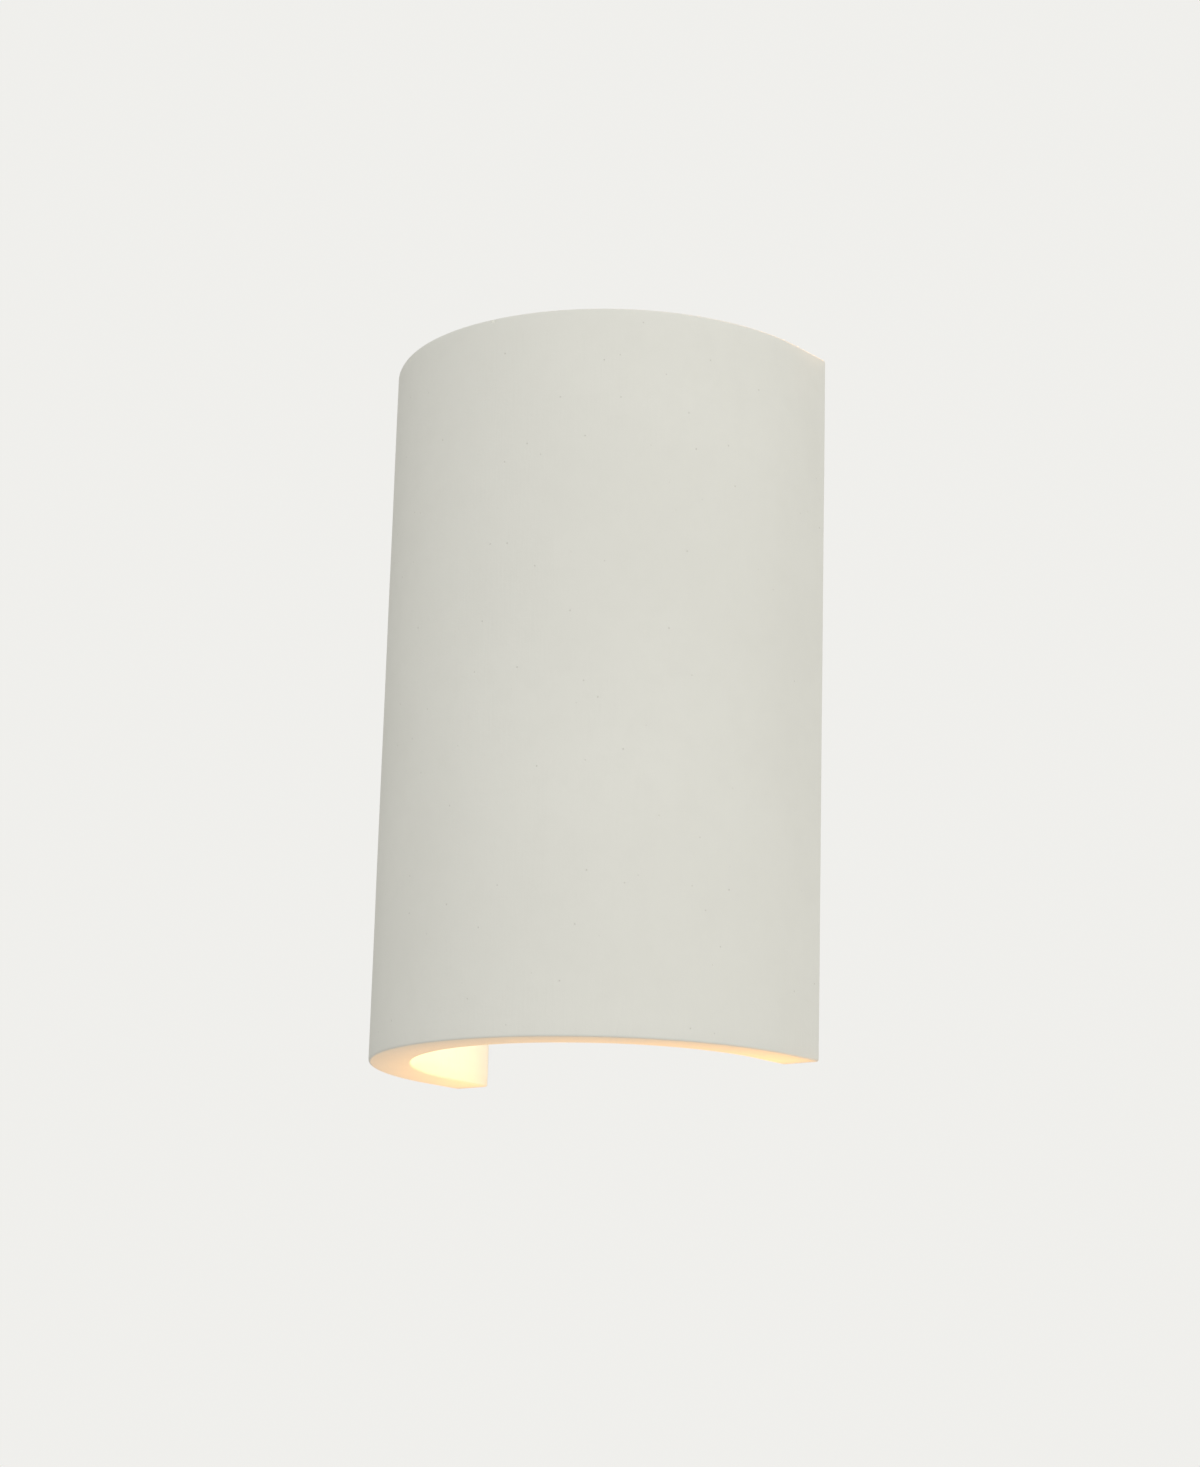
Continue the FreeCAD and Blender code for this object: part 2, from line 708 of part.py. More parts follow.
def earth_washer():
    """Stamp the toothed lock washer under the earth screw."""
    body = new_body("earth_washer", (EARTH_X, -(BOSS_FACE + size("ring_thick")), EARTH_Z))
    disc = Outline(body, "XZ_Plane").circle(ZERO, ZERO, size("washer_diameter"))
    disc.circle(ZERO, ZERO, LARGE_CLEARANCE_HOLE)
    pad(body, disc, size("washer_thick"))
    gap = Outline(body, "XZ_Plane").box(size("washer_diameter") / 2, ZERO,
                                        size("washer_tooth_depth") * 2, size("washer_tooth_gap"))
    cut = pocket(body, gap, size("washer_thick"))
    repeat(body, [cut], rows=[("Y_turn", 360, WASHER_TEETH)])


def earth_screw():
    """Make the earth screw, which threads into its boss on the bracket."""
    screw_group("earth_screw", size("large_screw"), EARTH_STACK - size("screw_end_gap"),
                (EARTH_X, -EARTH_STACK, EARTH_Z))


# ---------------------------------------------------------------- terminal block

POLES = (-1, 0, 1)


def terminal_block():
    """Mould the three-pole terminal block: a web that carries three bored pillars."""
    body = new_body("terminal_block", (0, -BOSS_FACE, BLOCK_Z))
    pitch, tall, front = size("pole_pitch"), size("block_height"), size("block_depth")
    axis, room = size("clamp_axis_depth"), size("clamp_width") + SLIP * 2
    web = Outline(body, "XZ_Plane").box(ZERO, ZERO, pitch * len(POLES), tall)
    pad(body, web, size("block_web"))
    pillars = Outline(body, "XZ_Plane")
    wells = Outline(body, "XZ_Plane", axis)
    bores = Outline(body, "XY_Plane", -tall / 2)
    for pole in POLES:
        pillars.box(pitch * pole, ZERO, size("pole_width"), tall)
        bores.box(pitch * pole, -axis, room, room)
        for end in (-1, 1):
            wells.circle(pitch * pole, size("clamp_screw_pitch") / 2 * end,
                         size("clamp_screw_head") + SLIP * 2)
    pad(body, pillars, front)
    dress(body, "Chamfer", size("pole_bevel"), lambda edge: along(edge, 2) and level(edge, 1, -front))
    pocket(body, wells, front - axis)
    pocket(body, bores, tall)
    x, seat = pitch / 2, -size("block_web")
    shank, head = x + SMALL_CLEARANCE_HOLE / 2, x + size("small_screw") * HEAD_SPREAD + SLIP
    stepped = Outline(body, "XY_Plane").loop(
        (x, ZERO), (x, -front), (head, -front), (head, seat), (shank, seat), (shank, ZERO))
    bored = revolve(body, stepped, None, (stepped.sketch, ["Edge1"]), "Groove")
    repeat(body, [bored], mirror="YZ_Plane")


def terminal_clamps():
    """Make the three brass clamps: square bars, each bored through and tapped twice."""
    body = new_body("terminal_clamps", (0, -BOSS_FACE, BLOCK_Z))
    long, wide = size("clamp_length"), size("clamp_width")
    axis, start = size("clamp_axis_depth"), -size("pole_pitch")
    section = Outline(body, "XY_Plane", -long / 2)
    section.box(start, -axis, wide, wide)
    section.circle(start, -axis, size("clamp_bore"))
    bar = pad(body, section, long)
    taps = Outline(body, "XZ_Plane", axis)
    for end in (-1, 1):
        taps.circle(start, size("clamp_screw_pitch") / 2 * end, size("clamp_screw"))
    tapped = pocket(body, taps, wide / 2)
    repeat(body, [bar, tapped], rows=[("X_Axis", size("pole_pitch") * 2, len(POLES))])


def terminal_screws():
    """Turn the six clamp screws, each resting on the conductor's ferrule."""
    body = new_body("terminal_screws", (0, CLAMP_Y, BLOCK_Z - size("clamp_screw_pitch") / 2))
    x = -size("pole_pitch")
    tip = -(size("ferrule_diameter") / 2 + SLIP)
    neck = tip - size("clamp_screw_shank")
    top = -(size("block_depth") - size("clamp_axis_depth") - size("clamp_screw_sink"))
    thread, head = x + size("clamp_screw") / 2 - SLIP / 2, x + size("clamp_screw_head") / 2
    profile = Outline(body, "XY_Plane").loop(
        (x, tip), (x, top), (head, top), (head, neck), (thread, neck), (thread, tip))
    turned = revolve(body, profile, None, (profile.sketch, ["Edge1"]))
    repeat(body, [turned], rows=[("Z_Axis", size("clamp_screw_pitch"), 2),
                                 ("X_Axis", size("pole_pitch") * 2, len(POLES))])


def terminal_block_screws():
    """Make the two screws that fix the terminal block to its bosses."""
    seat = BOSS_FACE + size("block_web")
    screw_group("terminal_block_screws", size("small_screw"), seat - size("screw_end_gap"),
                (0, -seat, BLOCK_Z), x=size("pole_pitch") / 2, mirror="YZ_Plane")


# ---------------------------------------------------------------- lampholder arm

def lampholder_arm():
    """Fold the arm: a leaf on two bosses and a shelf that reaches under the lampholder."""
    body = new_body("lampholder_arm")
    steel, inner = size("arm_steel"), size("bend_radius")
    outer = inner + steel
    back, top = -BOSS_FACE, -size("arm_screw_drop") + size("arm_leaf_above")
    end = LAMP_Y - size("holder_flange_length") / 2 - size("shelf_end")
    bend_y, bend_z = back - outer, SHELF_UNDERSIDE + outer
    strip = Outline(body, "YZ_Plane").loop(
        (back, top), (back - steel, top), (back - steel, bend_z, bend_y, bend_z, "cw"),
        (bend_y, SHELF_TOP), (end, SHELF_TOP), (end, SHELF_UNDERSIDE),
        (bend_y, SHELF_UNDERSIDE, bend_y, bend_z, "ccw"), (back, bend_z))
    pad(body, strip, size("arm_width"), centred=True)
    shelf = Outline(body, "XY_Plane", SHELF_UNDERSIDE)
    shelf.slot(ZERO, LAMP_Y, size("lead_slot_length"), size("lead_slot_width"), upright=True)
    for side in (-1, 1):
        shelf.circle(ZERO, LAMP_Y + size("holder_screw_pitch") / 2 * side, SMALL_CLEARANCE_HOLE)
    pocket(body, shelf, steel)
    leaf = Outline(body, "XZ_Plane", BOSS_FACE)
    for side in (-1, 1):
        leaf.circle(size("arm_screw_pitch") / 2 * side, -size("arm_screw_drop"), LARGE_CLEARANCE_HOLE)
    pocket(body, leaf, steel)
    half = size("arm_width") / 2
    dress(body, "Fillet", size("shelf_corner"),
          lambda edge: corner_at(edge, 2, (half, end), (-half, end)))
    dress(body, "Fillet", size("flange_corner"),
          lambda edge: corner_at(edge, 1, (half, top), (-half, top)))


def arm_screws():
    """Make the two screws that fix the arm to the bracket."""
    seat = BOSS_FACE + size("arm_steel")
    screw_group("arm_screws", size("large_screw"), seat - size("screw_end_gap"),
                (0, -seat, -size("arm_screw_drop")), x=size("arm_screw_pitch") / 2, mirror="YZ_Plane")


# ---------------------------------------------------------------- lampholder

LEAD_TOP = SHELF_TOP + size("lead_entry")


def lampholder():
    """Press the ceramic lampholder: a slotted body on a flange with two screw holes."""
    body = new_body("lampholder", (0, LAMP_Y, SHELF_TOP), QUARTER_TURN)
    flange = Outline(body, "XY_Plane").slot(
        ZERO, ZERO, size("holder_flange_length"), size("holder_flange_width"))
    pad(body, flange, size("holder_flange"))
    block = Outline(body, "XY_Plane").box(ZERO, ZERO, size("holder_length"), size("holder_width"))
    pad(body, block, size("holder_height"))
    half, deep = size("holder_length") / 2, size("holder_width") / 2
    dress(body, "Fillet", size("holder_corner"),
          lambda edge: corner_at(edge, 2, (half, deep), (-half, deep), (half, -deep), (-half, -deep)))
    dress(body, "Chamfer", size("holder_bevel"), lambda edge: level(edge, 2, size("holder_height")))
    holes = Outline(body, "XY_Plane")
    for side in (-1, 1):
        holes.circle(size("holder_screw_pitch") / 2 * side, ZERO, SMALL_CLEARANCE_HOLE)
    pocket(body, holes, size("holder_flange"))
    room = size("lamp_neck_room") * 2
    recess = Outline(body, "XY_Plane", size("holder_height")).box(
        ZERO, ZERO, size("lamp_neck_length") + room, size("lamp_neck_width") + room)
    pocket(body, recess, size("lamp_neck_height"), forwards=False)
    slots = Outline(body, "XY_Plane")
    along = size("contact_width") + size("contact_room") * 2
    across = (CONTACT_OUTSIDE + size("contact_room")) * 2
    for side in (-1, 1):
        slots.box(size("pin_pitch") / 2 * side, ZERO, along, across)
    pocket(body, slots, size("holder_height"))
    cavity = Outline(body, "XY_Plane").box(
        ZERO, ZERO, size("wiring_recess_length"), size("wiring_recess_width"))
    pocket(body, cavity, size("holder_flange"))


CONTACT_INSIDE = size("lamp_pin_wire") / 2 + size("contact_gap")
CONTACT_OUTSIDE = CONTACT_INSIDE + size("contact_strip")


def lampholder_contacts():
    """Bend the two spring contacts that grip the lamp's pins."""
    body = new_body("lampholder_contacts", (0, LAMP_Y, SHELF_TOP), QUARTER_TURN)
    inside, outside = CONTACT_INSIDE, CONTACT_OUTSIDE
    top = size("holder_height") - size("lamp_neck_height") - size("contact_top_gap")
    foot, middle = size("contact_foot"), size("pin_pitch") / 2
    floor = foot + size("contact_strip")
    clip = Outline(body, "YZ_Plane", middle - size("contact_width") / 2).loop(
        (-outside, top), (-outside, foot), (outside, foot), (outside, top),
        (inside, top), (inside, floor), (-inside, floor), (-inside, top))
    grip = pad(body, clip, size("contact_width"))
    tail_foot = LEAD_TOP - SHELF_TOP + SLIP
    tail_outline = Outline(body, "XY_Plane", tail_foot).box(
        middle, ZERO, size("contact_tail_width"), size("contact_tail_thick"))
    tail = pad(body, tail_outline, foot - tail_foot)
    repeat(body, [grip, tail], mirror="YZ_Plane")


def lampholder_screws():
    """Make the two screws through the lampholder's flange and the shelf."""
    length = size("holder_flange") + size("arm_steel") + size("nut_height") + size("bolt_end")
    screw_group("lampholder_screws", size("small_screw"), length,
                (0, LAMP_Y - size("holder_screw_pitch") / 2, SHELF_TOP + size("holder_flange")),
                rotation=((1, 0, 0), -90), rows=[("Z_Axis", size("holder_screw_pitch"), 2)])


def lampholder_nuts():
    """Make the two nuts under the shelf."""
    body = new_body("lampholder_nuts", (0, LAMP_Y, SHELF_UNDERSIDE))
    nut = Outline(body, "XY_Plane")
    hexagon(nut, ZERO, size("holder_screw_pitch") / 2, size("nut_across_flats"))
    nut.circle(ZERO, size("holder_screw_pitch") / 2, size("small_screw") + SLIP)
    block = pad(body, nut, size("nut_height"), backwards=True)
    repeat(body, [block], mirror="XZ_Plane")


# ---------------------------------------------------------------- lamp

CORE_FOOT = size("lamp_base_height") + size("lamp_collar_height")
CORE_RISE = size("core_height") - size("lamp_collar_height")


def lamp_base():
    """Mould the lamp's base: a round cup with a flat neck that enters the holder."""
    body = new_body("lamp_base", (0, LAMP_Y, LAMP_SEAT), QUARTER_TURN)
    rim = size("lamp_diameter") / 2
    collar = rim - size("envelope_wall") - SLIP
    top = size("lamp_base_height")
    profile = Outline(body, "XZ_Plane").loop(
        (ZERO, ZERO), (rim - size("lamp_foot_bevel"), ZERO), (rim, size("lamp_foot_height")), (rim, top),
        (collar, top), (collar, CORE_FOOT), (ZERO, CORE_FOOT))
    revolve(body, profile, "Z_Axis")
    neck = Outline(body, "XY_Plane").box(ZERO, ZERO, size("lamp_neck_length"), size("lamp_neck_width"))
    pad(body, neck, size("lamp_neck_height"), backwards=True)


def lamp_pins():
    """Bend the two wire loops that plug into the lampholder."""
    body = new_body("lamp_pins", (0, LAMP_Y, LAMP_SEAT), QUARTER_TURN)
    wire, middle = size("lamp_pin_wire"), size("pin_pitch") / 2
    outer, inner = (size("lamp_pin_loop") + wire) / 2, (size("lamp_pin_loop") - wire) / 2
    top = -size("lamp_neck_height")
    low = top - size("lamp_pin_length") + outer
    hoop = Outline(body, "XZ_Plane", -wire / 2).loop(
        (middle - outer, top), (middle - outer, low, middle, low, "ccw"), (middle + outer, low),
        (middle + outer, top), (middle + inner, top), (middle + inner, low, middle, low, "cw"),
        (middle - inner, low), (middle - inner, top))
    loop = pad(body, hoop, wire)
    repeat(body, [loop], mirror="YZ_Plane")


def lamp_envelope():
    """Blow the lamp's clear envelope: a domed tube."""
    body = new_body("lamp_envelope", (0, LAMP_Y, LAMP_SEAT), QUARTER_TURN)
    outer = size("lamp_diameter") / 2
    inner = outer - size("envelope_wall")
    foot = size("lamp_base_height")
    spring = foot + size("envelope_height") - outer
    profile = Outline(body, "XZ_Plane").loop(
        (inner, foot), (outer, foot), (outer, spring, ZERO, spring, "ccw"), (ZERO, spring + outer),
        (ZERO, spring + inner, ZERO, spring, "cw"), (inner, spring))
    revolve(body, profile, "Z_Axis")


def lamp_core():
    """Make the six-sided core that carries the light chips."""
    body = new_body("lamp_core", (0, LAMP_Y, LAMP_SEAT), QUARTER_TURN)
    post = Outline(body, "XY_Plane", CORE_FOOT)
    hexagon(post, ZERO, ZERO, size("core_across_flats"))
    pad(body, post, CORE_RISE)


def lamp_chips():
    """Lay the light chips in rows up the six faces of the core."""
    body = new_body("lamp_chips", (0, LAMP_Y, LAMP_SEAT), QUARTER_TURN)
    chip, margin = size("chip_width"), size("chip_margin")
    face = Outline(body, "XZ_Plane", size("core_across_flats") / 2).box(
        ZERO, CORE_FOOT + margin, chip, chip)
    one = pad(body, face, size("chip_thick"))
    repeat(body, [one], rows=[("Z_Axis", CORE_RISE - margin * 2, CHIP_ROWS),
                              ("Z_turn", 360, CORE_FACES)])


# ---------------------------------------------------------------- leads

# The share of the shorter run that an arc takes up, beside its corner.
ARC_SHARE = 0.45


def lead_route(points):
    """Return the path through some points, with an arc at each turn, and the arcs' radii."""
    points = [Vector(*[as_size(number).value for number in point]) for point in points]
    edges, radii, start = [], [], points[0]
    for before, corner, after in zip(points, points[1:], points[2:]):
        arriving, leaving = corner - before, after - corner
        half_turn = arriving.getAngle(leaving) / 2
        cut = ARC_SHARE * min(arriving.Length, leaving.Length)
        radius = cut / math.tan(half_turn)
        entry = corner - arriving.normalize() * cut
        out = corner + leaving.normalize() * cut
        inward = (leaving - arriving).normalize()
        centre = corner + inward * (radius / math.cos(half_turn))
        middle = centre - inward * radius
        edges.append(Part.LineSegment(start, entry).toShape())
        edges.append(Part.Arc(entry, middle, out).toShape())
        radii.append(radius)
        start = out
    edges.append(Part.LineSegment(start, points[-1]).toShape())
    return Part.Wire(edges), radii


def lead(label, points):
    """Draw one insulated lead along its route."""
    path, radii = lead_route(points)
    radius = size("lead_diameter").value / 2
    direction = path.Edges[0].tangentAt(path.Edges[0].FirstParameter)
    circle = Part.Wire(Part.Edge(Part.Circle(path.Vertexes[0].Point, direction, radius)))
    tube = path.makePipeShell([circle], True, False)
    wanted = math.pi * radius ** 2 * path.Length
    if abs(tube.Volume - wanted) > wanted / 100:
        raise ValueError(f"{label}: the tube's volume is wrong")
    item = doc.addObject("Part::Feature", label)
    item.Label = label
    item.Shape = tube
    item.Placement = Placement()
    subparts[label] = item
    print(f"{label}: length {path.Length:.1f}, radii", [round(number, 1) for number in radii])


FERRULE_MOUTH = BLOCK_UNDERSIDE - size("ferrule_stand_off")
PIN_FRONT = LAMP_Y - size("pin_pitch") / 2
PIN_REAR = LAMP_Y + size("pin_pitch") / 2


def leads():
    """Lay the live and neutral leads from the lampholder, and the earth lead from its ring."""
    pitch = size("pole_pitch")
    lead("live_lead", [
        (0, PIN_FRONT, LEAD_TOP), (-0.6, PIN_FRONT + 0.2, SHELF_TOP - 15),
        (-3.5, PIN_FRONT + 0.8, BLOCK_UNDERSIDE - 6), (-6.5, CLAMP_Y - 20.5, BLOCK_UNDERSIDE - 15.5),
        (-10, CLAMP_Y - 8, BLOCK_UNDERSIDE - 15.6), (-pitch, CLAMP_Y, BLOCK_UNDERSIDE - 8),
        (-pitch, CLAMP_Y, FERRULE_MOUTH)])
    lead("neutral_lead", [
        (0, PIN_REAR, LEAD_TOP), (0.4, PIN_REAR - 0.4, SHELF_TOP - 16),
        (1.1, PIN_REAR - 0.5, BLOCK_UNDERSIDE - 4), (1.0, CLAMP_Y - 15.5, BLOCK_UNDERSIDE - 12),
        (0.4, CLAMP_Y - 6.2, BLOCK_UNDERSIDE - 13.5), (0, CLAMP_Y, BLOCK_UNDERSIDE - 7.8),
        (0, CLAMP_Y, FERRULE_MOUTH)])
    barrel_mouth = EARTH_Z + BARREL_TOP - size("barrel_length") + 4
    lead("earth_lead", [
        (EARTH_X, EARTH_LEAD_Y, barrel_mouth), (EARTH_X, EARTH_LEAD_Y, BLOCK_Z + 1),
        (EARTH_X + 0.2, EARTH_LEAD_Y - 1.2, BLOCK_UNDERSIDE - 5),
        (EARTH_X - 4.4, EARTH_LEAD_Y - 2.4, BLOCK_UNDERSIDE - 9.6),
        (pitch + 4.4, CLAMP_Y + 0.4, BLOCK_UNDERSIDE - 9.8), (pitch, CLAMP_Y, BLOCK_UNDERSIDE - 5.4),
        (pitch, CLAMP_Y, FERRULE_MOUTH)])


def lead_ferrules():
    """Crimp the three ferrules, with flared mouths, that end the leads in the terminal clamps."""
    body = new_body("lead_ferrules", (0, CLAMP_Y, 0))
    x = -size("pole_pitch")
    sleeve, mouth = size("ferrule_diameter") / 2, size("ferrule_mouth_diameter") / 2
    tip = BLOCK_Z + size("clamp_length") / 2 - size("ferrule_end_gap")
    profile = Outline(body, "XZ_Plane").loop(
        (x, tip), (x, FERRULE_MOUTH), (x + mouth, FERRULE_MOUTH),
        (x + sleeve, FERRULE_MOUTH + size("ferrule_mouth_length")), (x + sleeve, tip))
    turned = revolve(body, profile, None, (profile.sketch, ["Edge1"]))
    repeat(body, [turned], rows=[("X_Axis", size("pole_pitch") * 2, len(POLES))])


# ---------------------------------------------------------------- build, check and write

def build():
    """Make every sub-part."""
    wall_bracket()
    cable_bush()
    earth_ring_terminal()
    earth_washer()
    earth_screw()
    terminal_block()
    terminal_clamps()
    terminal_screws()
    terminal_block_screws()
    lampholder_arm()
    arm_screws()
    lampholder()
    lampholder_contacts()
    lampholder_screws()
    lampholder_nuts()
    leads()
    lead_ferrules()
    lamp_base()
    lamp_pins()
    lamp_envelope()
    lamp_core()
    lamp_chips()
    plaster_shade()
    hanger_plate("hanger_plate_left", -1)
    hanger_plate("hanger_plate_right", 1)
    hanger_pins()
    hanger_inserts()
    hanger_screws()


def check():
    """Stop if any object failed or any sub-part has no valid shape."""
    for item in doc.Objects:
        if "Invalid" in item.State or "Error" in item.State:
            raise ValueError(f"{item.Label}: {item.State}")
    for label, item in subparts.items():
        if item.Shape.isNull() or not item.Shape.isValid() or not item.Shape.Solids:
            raise ValueError(f"{label}: no valid solid")


build()
doc.recompute()
check()
os.makedirs("parts", exist_ok=True)
for label, item in subparts.items():
    item.Shape.exportStep(f"parts/{label}.step")
    print(f"{label}: {len(item.Shape.Solids)} solids, {item.Shape.Volume:.1f} mm3")
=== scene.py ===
"""Looks of the half-round plaster wall light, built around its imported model.

Everything is in metres in the model's own frame: X runs across the light, +Y points into the wall
and +Z points up. The origin lies on the wall plane, level with the middle of the plaster shade.
Each sub-assembly is a class that models its own pieces, dresses them and the carried-over nodes in
their finishes, and says which body they move with. The studio has a pale floor, soft lights and a
camera below and to the right of the light, which looks up at it.
"""

import logging
import math
from collections.abc import Callable, Iterator, Sequence
from contextlib import contextmanager
from dataclasses import dataclass, field
from enum import Enum

import bpy
from mathutils import Matrix, Vector


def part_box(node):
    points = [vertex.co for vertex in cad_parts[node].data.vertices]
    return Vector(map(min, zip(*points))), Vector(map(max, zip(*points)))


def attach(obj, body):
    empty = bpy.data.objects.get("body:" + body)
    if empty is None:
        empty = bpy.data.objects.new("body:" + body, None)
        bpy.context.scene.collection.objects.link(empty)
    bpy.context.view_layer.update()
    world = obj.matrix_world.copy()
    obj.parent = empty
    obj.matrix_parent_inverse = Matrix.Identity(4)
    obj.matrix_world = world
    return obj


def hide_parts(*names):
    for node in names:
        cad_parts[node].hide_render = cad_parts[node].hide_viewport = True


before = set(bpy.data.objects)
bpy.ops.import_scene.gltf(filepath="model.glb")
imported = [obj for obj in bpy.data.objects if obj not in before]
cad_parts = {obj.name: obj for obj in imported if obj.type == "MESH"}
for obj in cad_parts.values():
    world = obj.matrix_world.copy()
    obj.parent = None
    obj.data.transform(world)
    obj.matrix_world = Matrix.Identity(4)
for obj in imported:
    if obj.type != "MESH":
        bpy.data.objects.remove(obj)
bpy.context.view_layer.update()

LOG = logging.getLogger("plaster_wall_light")
MM = 0.001

# How near counts as touching, close or one point, and what share counts as nearly all or facing.
TOUCHING = 0.01 * MM
CLOSE = 0.1 * MM
MERGING = 0.000002
NEARLY = 0.99
FACING = 0.9

Colour = tuple[float, float, float]
Point = tuple[float, float, float]


class Body(Enum):
    """The three bodies that pieces move with."""

    BRACKET = "bracket"
    LAMP = "lamp"
    SHADE = "shade"


class Slot(Enum):
    """The record's material slots."""

    PLASTER = "plaster"
    PAINTED_STEEL = "powder_coated_steel"
    ZINC_STEEL = "zinc_steel"
    BRASS = "brass"
    TIN = "tinned_copper"
    NYLON = "white_nylon"
    RUBBER = "black_rubber"
    CERAMIC = "white_ceramic"
    BROWN = "brown_sleeving"
    BLUE = "blue_sleeving"
    GREEN_YELLOW = "green_yellow_sleeving"
    LAMP_BASE = "lamp_base_white"
    GLASS = "clear_glass"
    BOARD = "lamp_board"
    PHOSPHOR = "lamp_phosphor"


# ------------------------------------------------------------------ finishes


class ShaderBuilder:
    """A material's node tree around one Principled shader, with patterns on Object coordinates."""

    def __init__(self, name: str) -> None:
        """Start a material.

        Args:
            name: The material's name.
        """
        self.material = bpy.data.materials.new(name)
        self.material.use_nodes = True
        self.tree = self.material.node_tree
        self.principled = self.tree.nodes["Principled BSDF"]
        self.coordinates = self.node("ShaderNodeTexCoord")
        self.place = self.coordinates.outputs["Object"]

    def node(self, kind: str, **settings: object) -> bpy.types.Node:
        """Add a node.

        Args:
            kind: The node's type.
            settings: Values for the node's own properties.

        Returns:
            The node.
        """
        made = self.tree.nodes.new(kind)
        for name, value in settings.items():
            setattr(made, name, value)
        return made

    def join(self, source: bpy.types.NodeSocket, target: bpy.types.NodeSocket) -> None:
        """Link one socket to another."""
        self.tree.links.new(source, target)

    def stretched(self, stretch: Point) -> bpy.types.NodeSocket:
        """Return the Object coordinates scaled along each axis."""
        mapping = self.node("ShaderNodeMapping")
        mapping.inputs["Scale"].default_value = stretch
        self.join(self.place, mapping.inputs["Vector"])
        return mapping.outputs["Vector"]

    def noise(self, size: float, detail: float = 3.0, rough: float = 0.55,
              stretch: Point = (1.0, 1.0, 1.0)) -> bpy.types.NodeSocket:
        """Add a noise pattern.

        Args:
            size: About how wide a patch is, in metres.
            detail: How many finer layers it has.
            rough: How strong the finer layers are.
            stretch: How much denser the pattern is along each axis.

        Returns:
            The pattern's value, from 0 to 1.
        """
        pattern = self.node("ShaderNodeTexNoise")
        pattern.inputs["Scale"].default_value = 1.0 / size
        pattern.inputs["Detail"].default_value = detail
        pattern.inputs["Roughness"].default_value = rough
        self.join(self.stretched(stretch), pattern.inputs["Vector"])
        return pattern.outputs["Fac"]

    def cells(self, size: float, output: str = "Distance") -> bpy.types.NodeSocket:
        """Add a cell pattern.

        Args:
            size: About how wide a cell is, in metres.
            output: The pattern's output that is wanted.

        Returns:
            That output.
        """
        pattern = self.node("ShaderNodeTexVoronoi")
        pattern.inputs["Scale"].default_value = 1.0 / size
        self.join(self.place, pattern.inputs["Vector"])
        return pattern.outputs[output]

    def ranged(self, value: bpy.types.NodeSocket, low: float, high: float,
               to_low: float = 0.0, to_high: float = 1.0) -> bpy.types.NodeSocket:
        """Map a value from one range to another, held at the ends.

        Args:
            value: The socket to map.
            low: The value that gives to_low.
            high: The value that gives to_high.
            to_low: The result at low.
            to_high: The result at high.

        Returns:
            The mapped value.
        """
        mapped = self.node("ShaderNodeMapRange")
        for name, number in (("From Min", low), ("From Max", high), ("To Min", to_low), ("To Max", to_high)):
            mapped.inputs[name].default_value = number
        self.join(value, mapped.inputs["Value"])
        return mapped.outputs["Result"]

    def blended(self, share: bpy.types.NodeSocket, first: Colour | bpy.types.NodeSocket,
                second: Colour) -> bpy.types.NodeSocket:
        """Mix two colours.

        Args:
            share: How much of the second colour shows.
            first: A colour, or a socket that gives one.
            second: The other colour.

        Returns:
            The mixed colour.
        """
        mix = self.node("ShaderNodeMix", data_type="RGBA")
        sockets = [item for item in mix.inputs if item.type == "RGBA"]
        self.join(share, mix.inputs[0])
        if isinstance(first, bpy.types.NodeSocket):
            self.join(first, sockets[0])
        else:
            sockets[0].default_value = (*first, 1.0)
        sockets[1].default_value = (*second, 1.0)
        return next(item for item in mix.outputs if item.type == "RGBA")

    def combined(self, operation: str, first: bpy.types.NodeSocket,
                 second: bpy.types.NodeSocket | float) -> bpy.types.NodeSocket:
        """Work out a value from two others.

        Args:
            operation: The Math node's operation.
            first: The first value's socket.
            second: The second value, or its socket.

        Returns:
            The result.
        """
        sums = self.node("ShaderNodeMath", operation=operation)
        self.join(first, sums.inputs[0])
        if isinstance(second, bpy.types.NodeSocket):
            self.join(second, sums.inputs[1])
        else:
            sums.inputs[1].default_value = second
        return sums.outputs[0]

    def relief(self, layers: Sequence[tuple[bpy.types.NodeSocket, float]]) -> None:
        """Give the surface a fine relief.

        Args:
            layers: Each layer's height pattern and its depth in metres.
        """
        normal = None
        for height, depth in layers:
            bump = self.node("ShaderNodeBump")
            bump.inputs["Strength"].default_value = 1.0
            bump.inputs["Distance"].default_value = depth
            self.join(height, bump.inputs["Height"])
            if normal is not None:
                self.join(normal, bump.inputs["Normal"])
            normal = bump.outputs["Normal"]
        self.join(normal, self.principled.inputs["Normal"])

    def paint(self, colour: bpy.types.NodeSocket, roughness: bpy.types.NodeSocket) -> None:
        """Give the surface its colour and its roughness patterns."""
        self.join(colour, self.principled.inputs["Base Color"])
        self.join(roughness, self.principled.inputs["Roughness"])

    def constants(self, **values: float | Sequence[float]) -> None:
        """Set the shader's own sockets, named with _ for a space."""
        for name, value in values.items():
            self.principled.inputs[name.replace("_", " ")].default_value = value


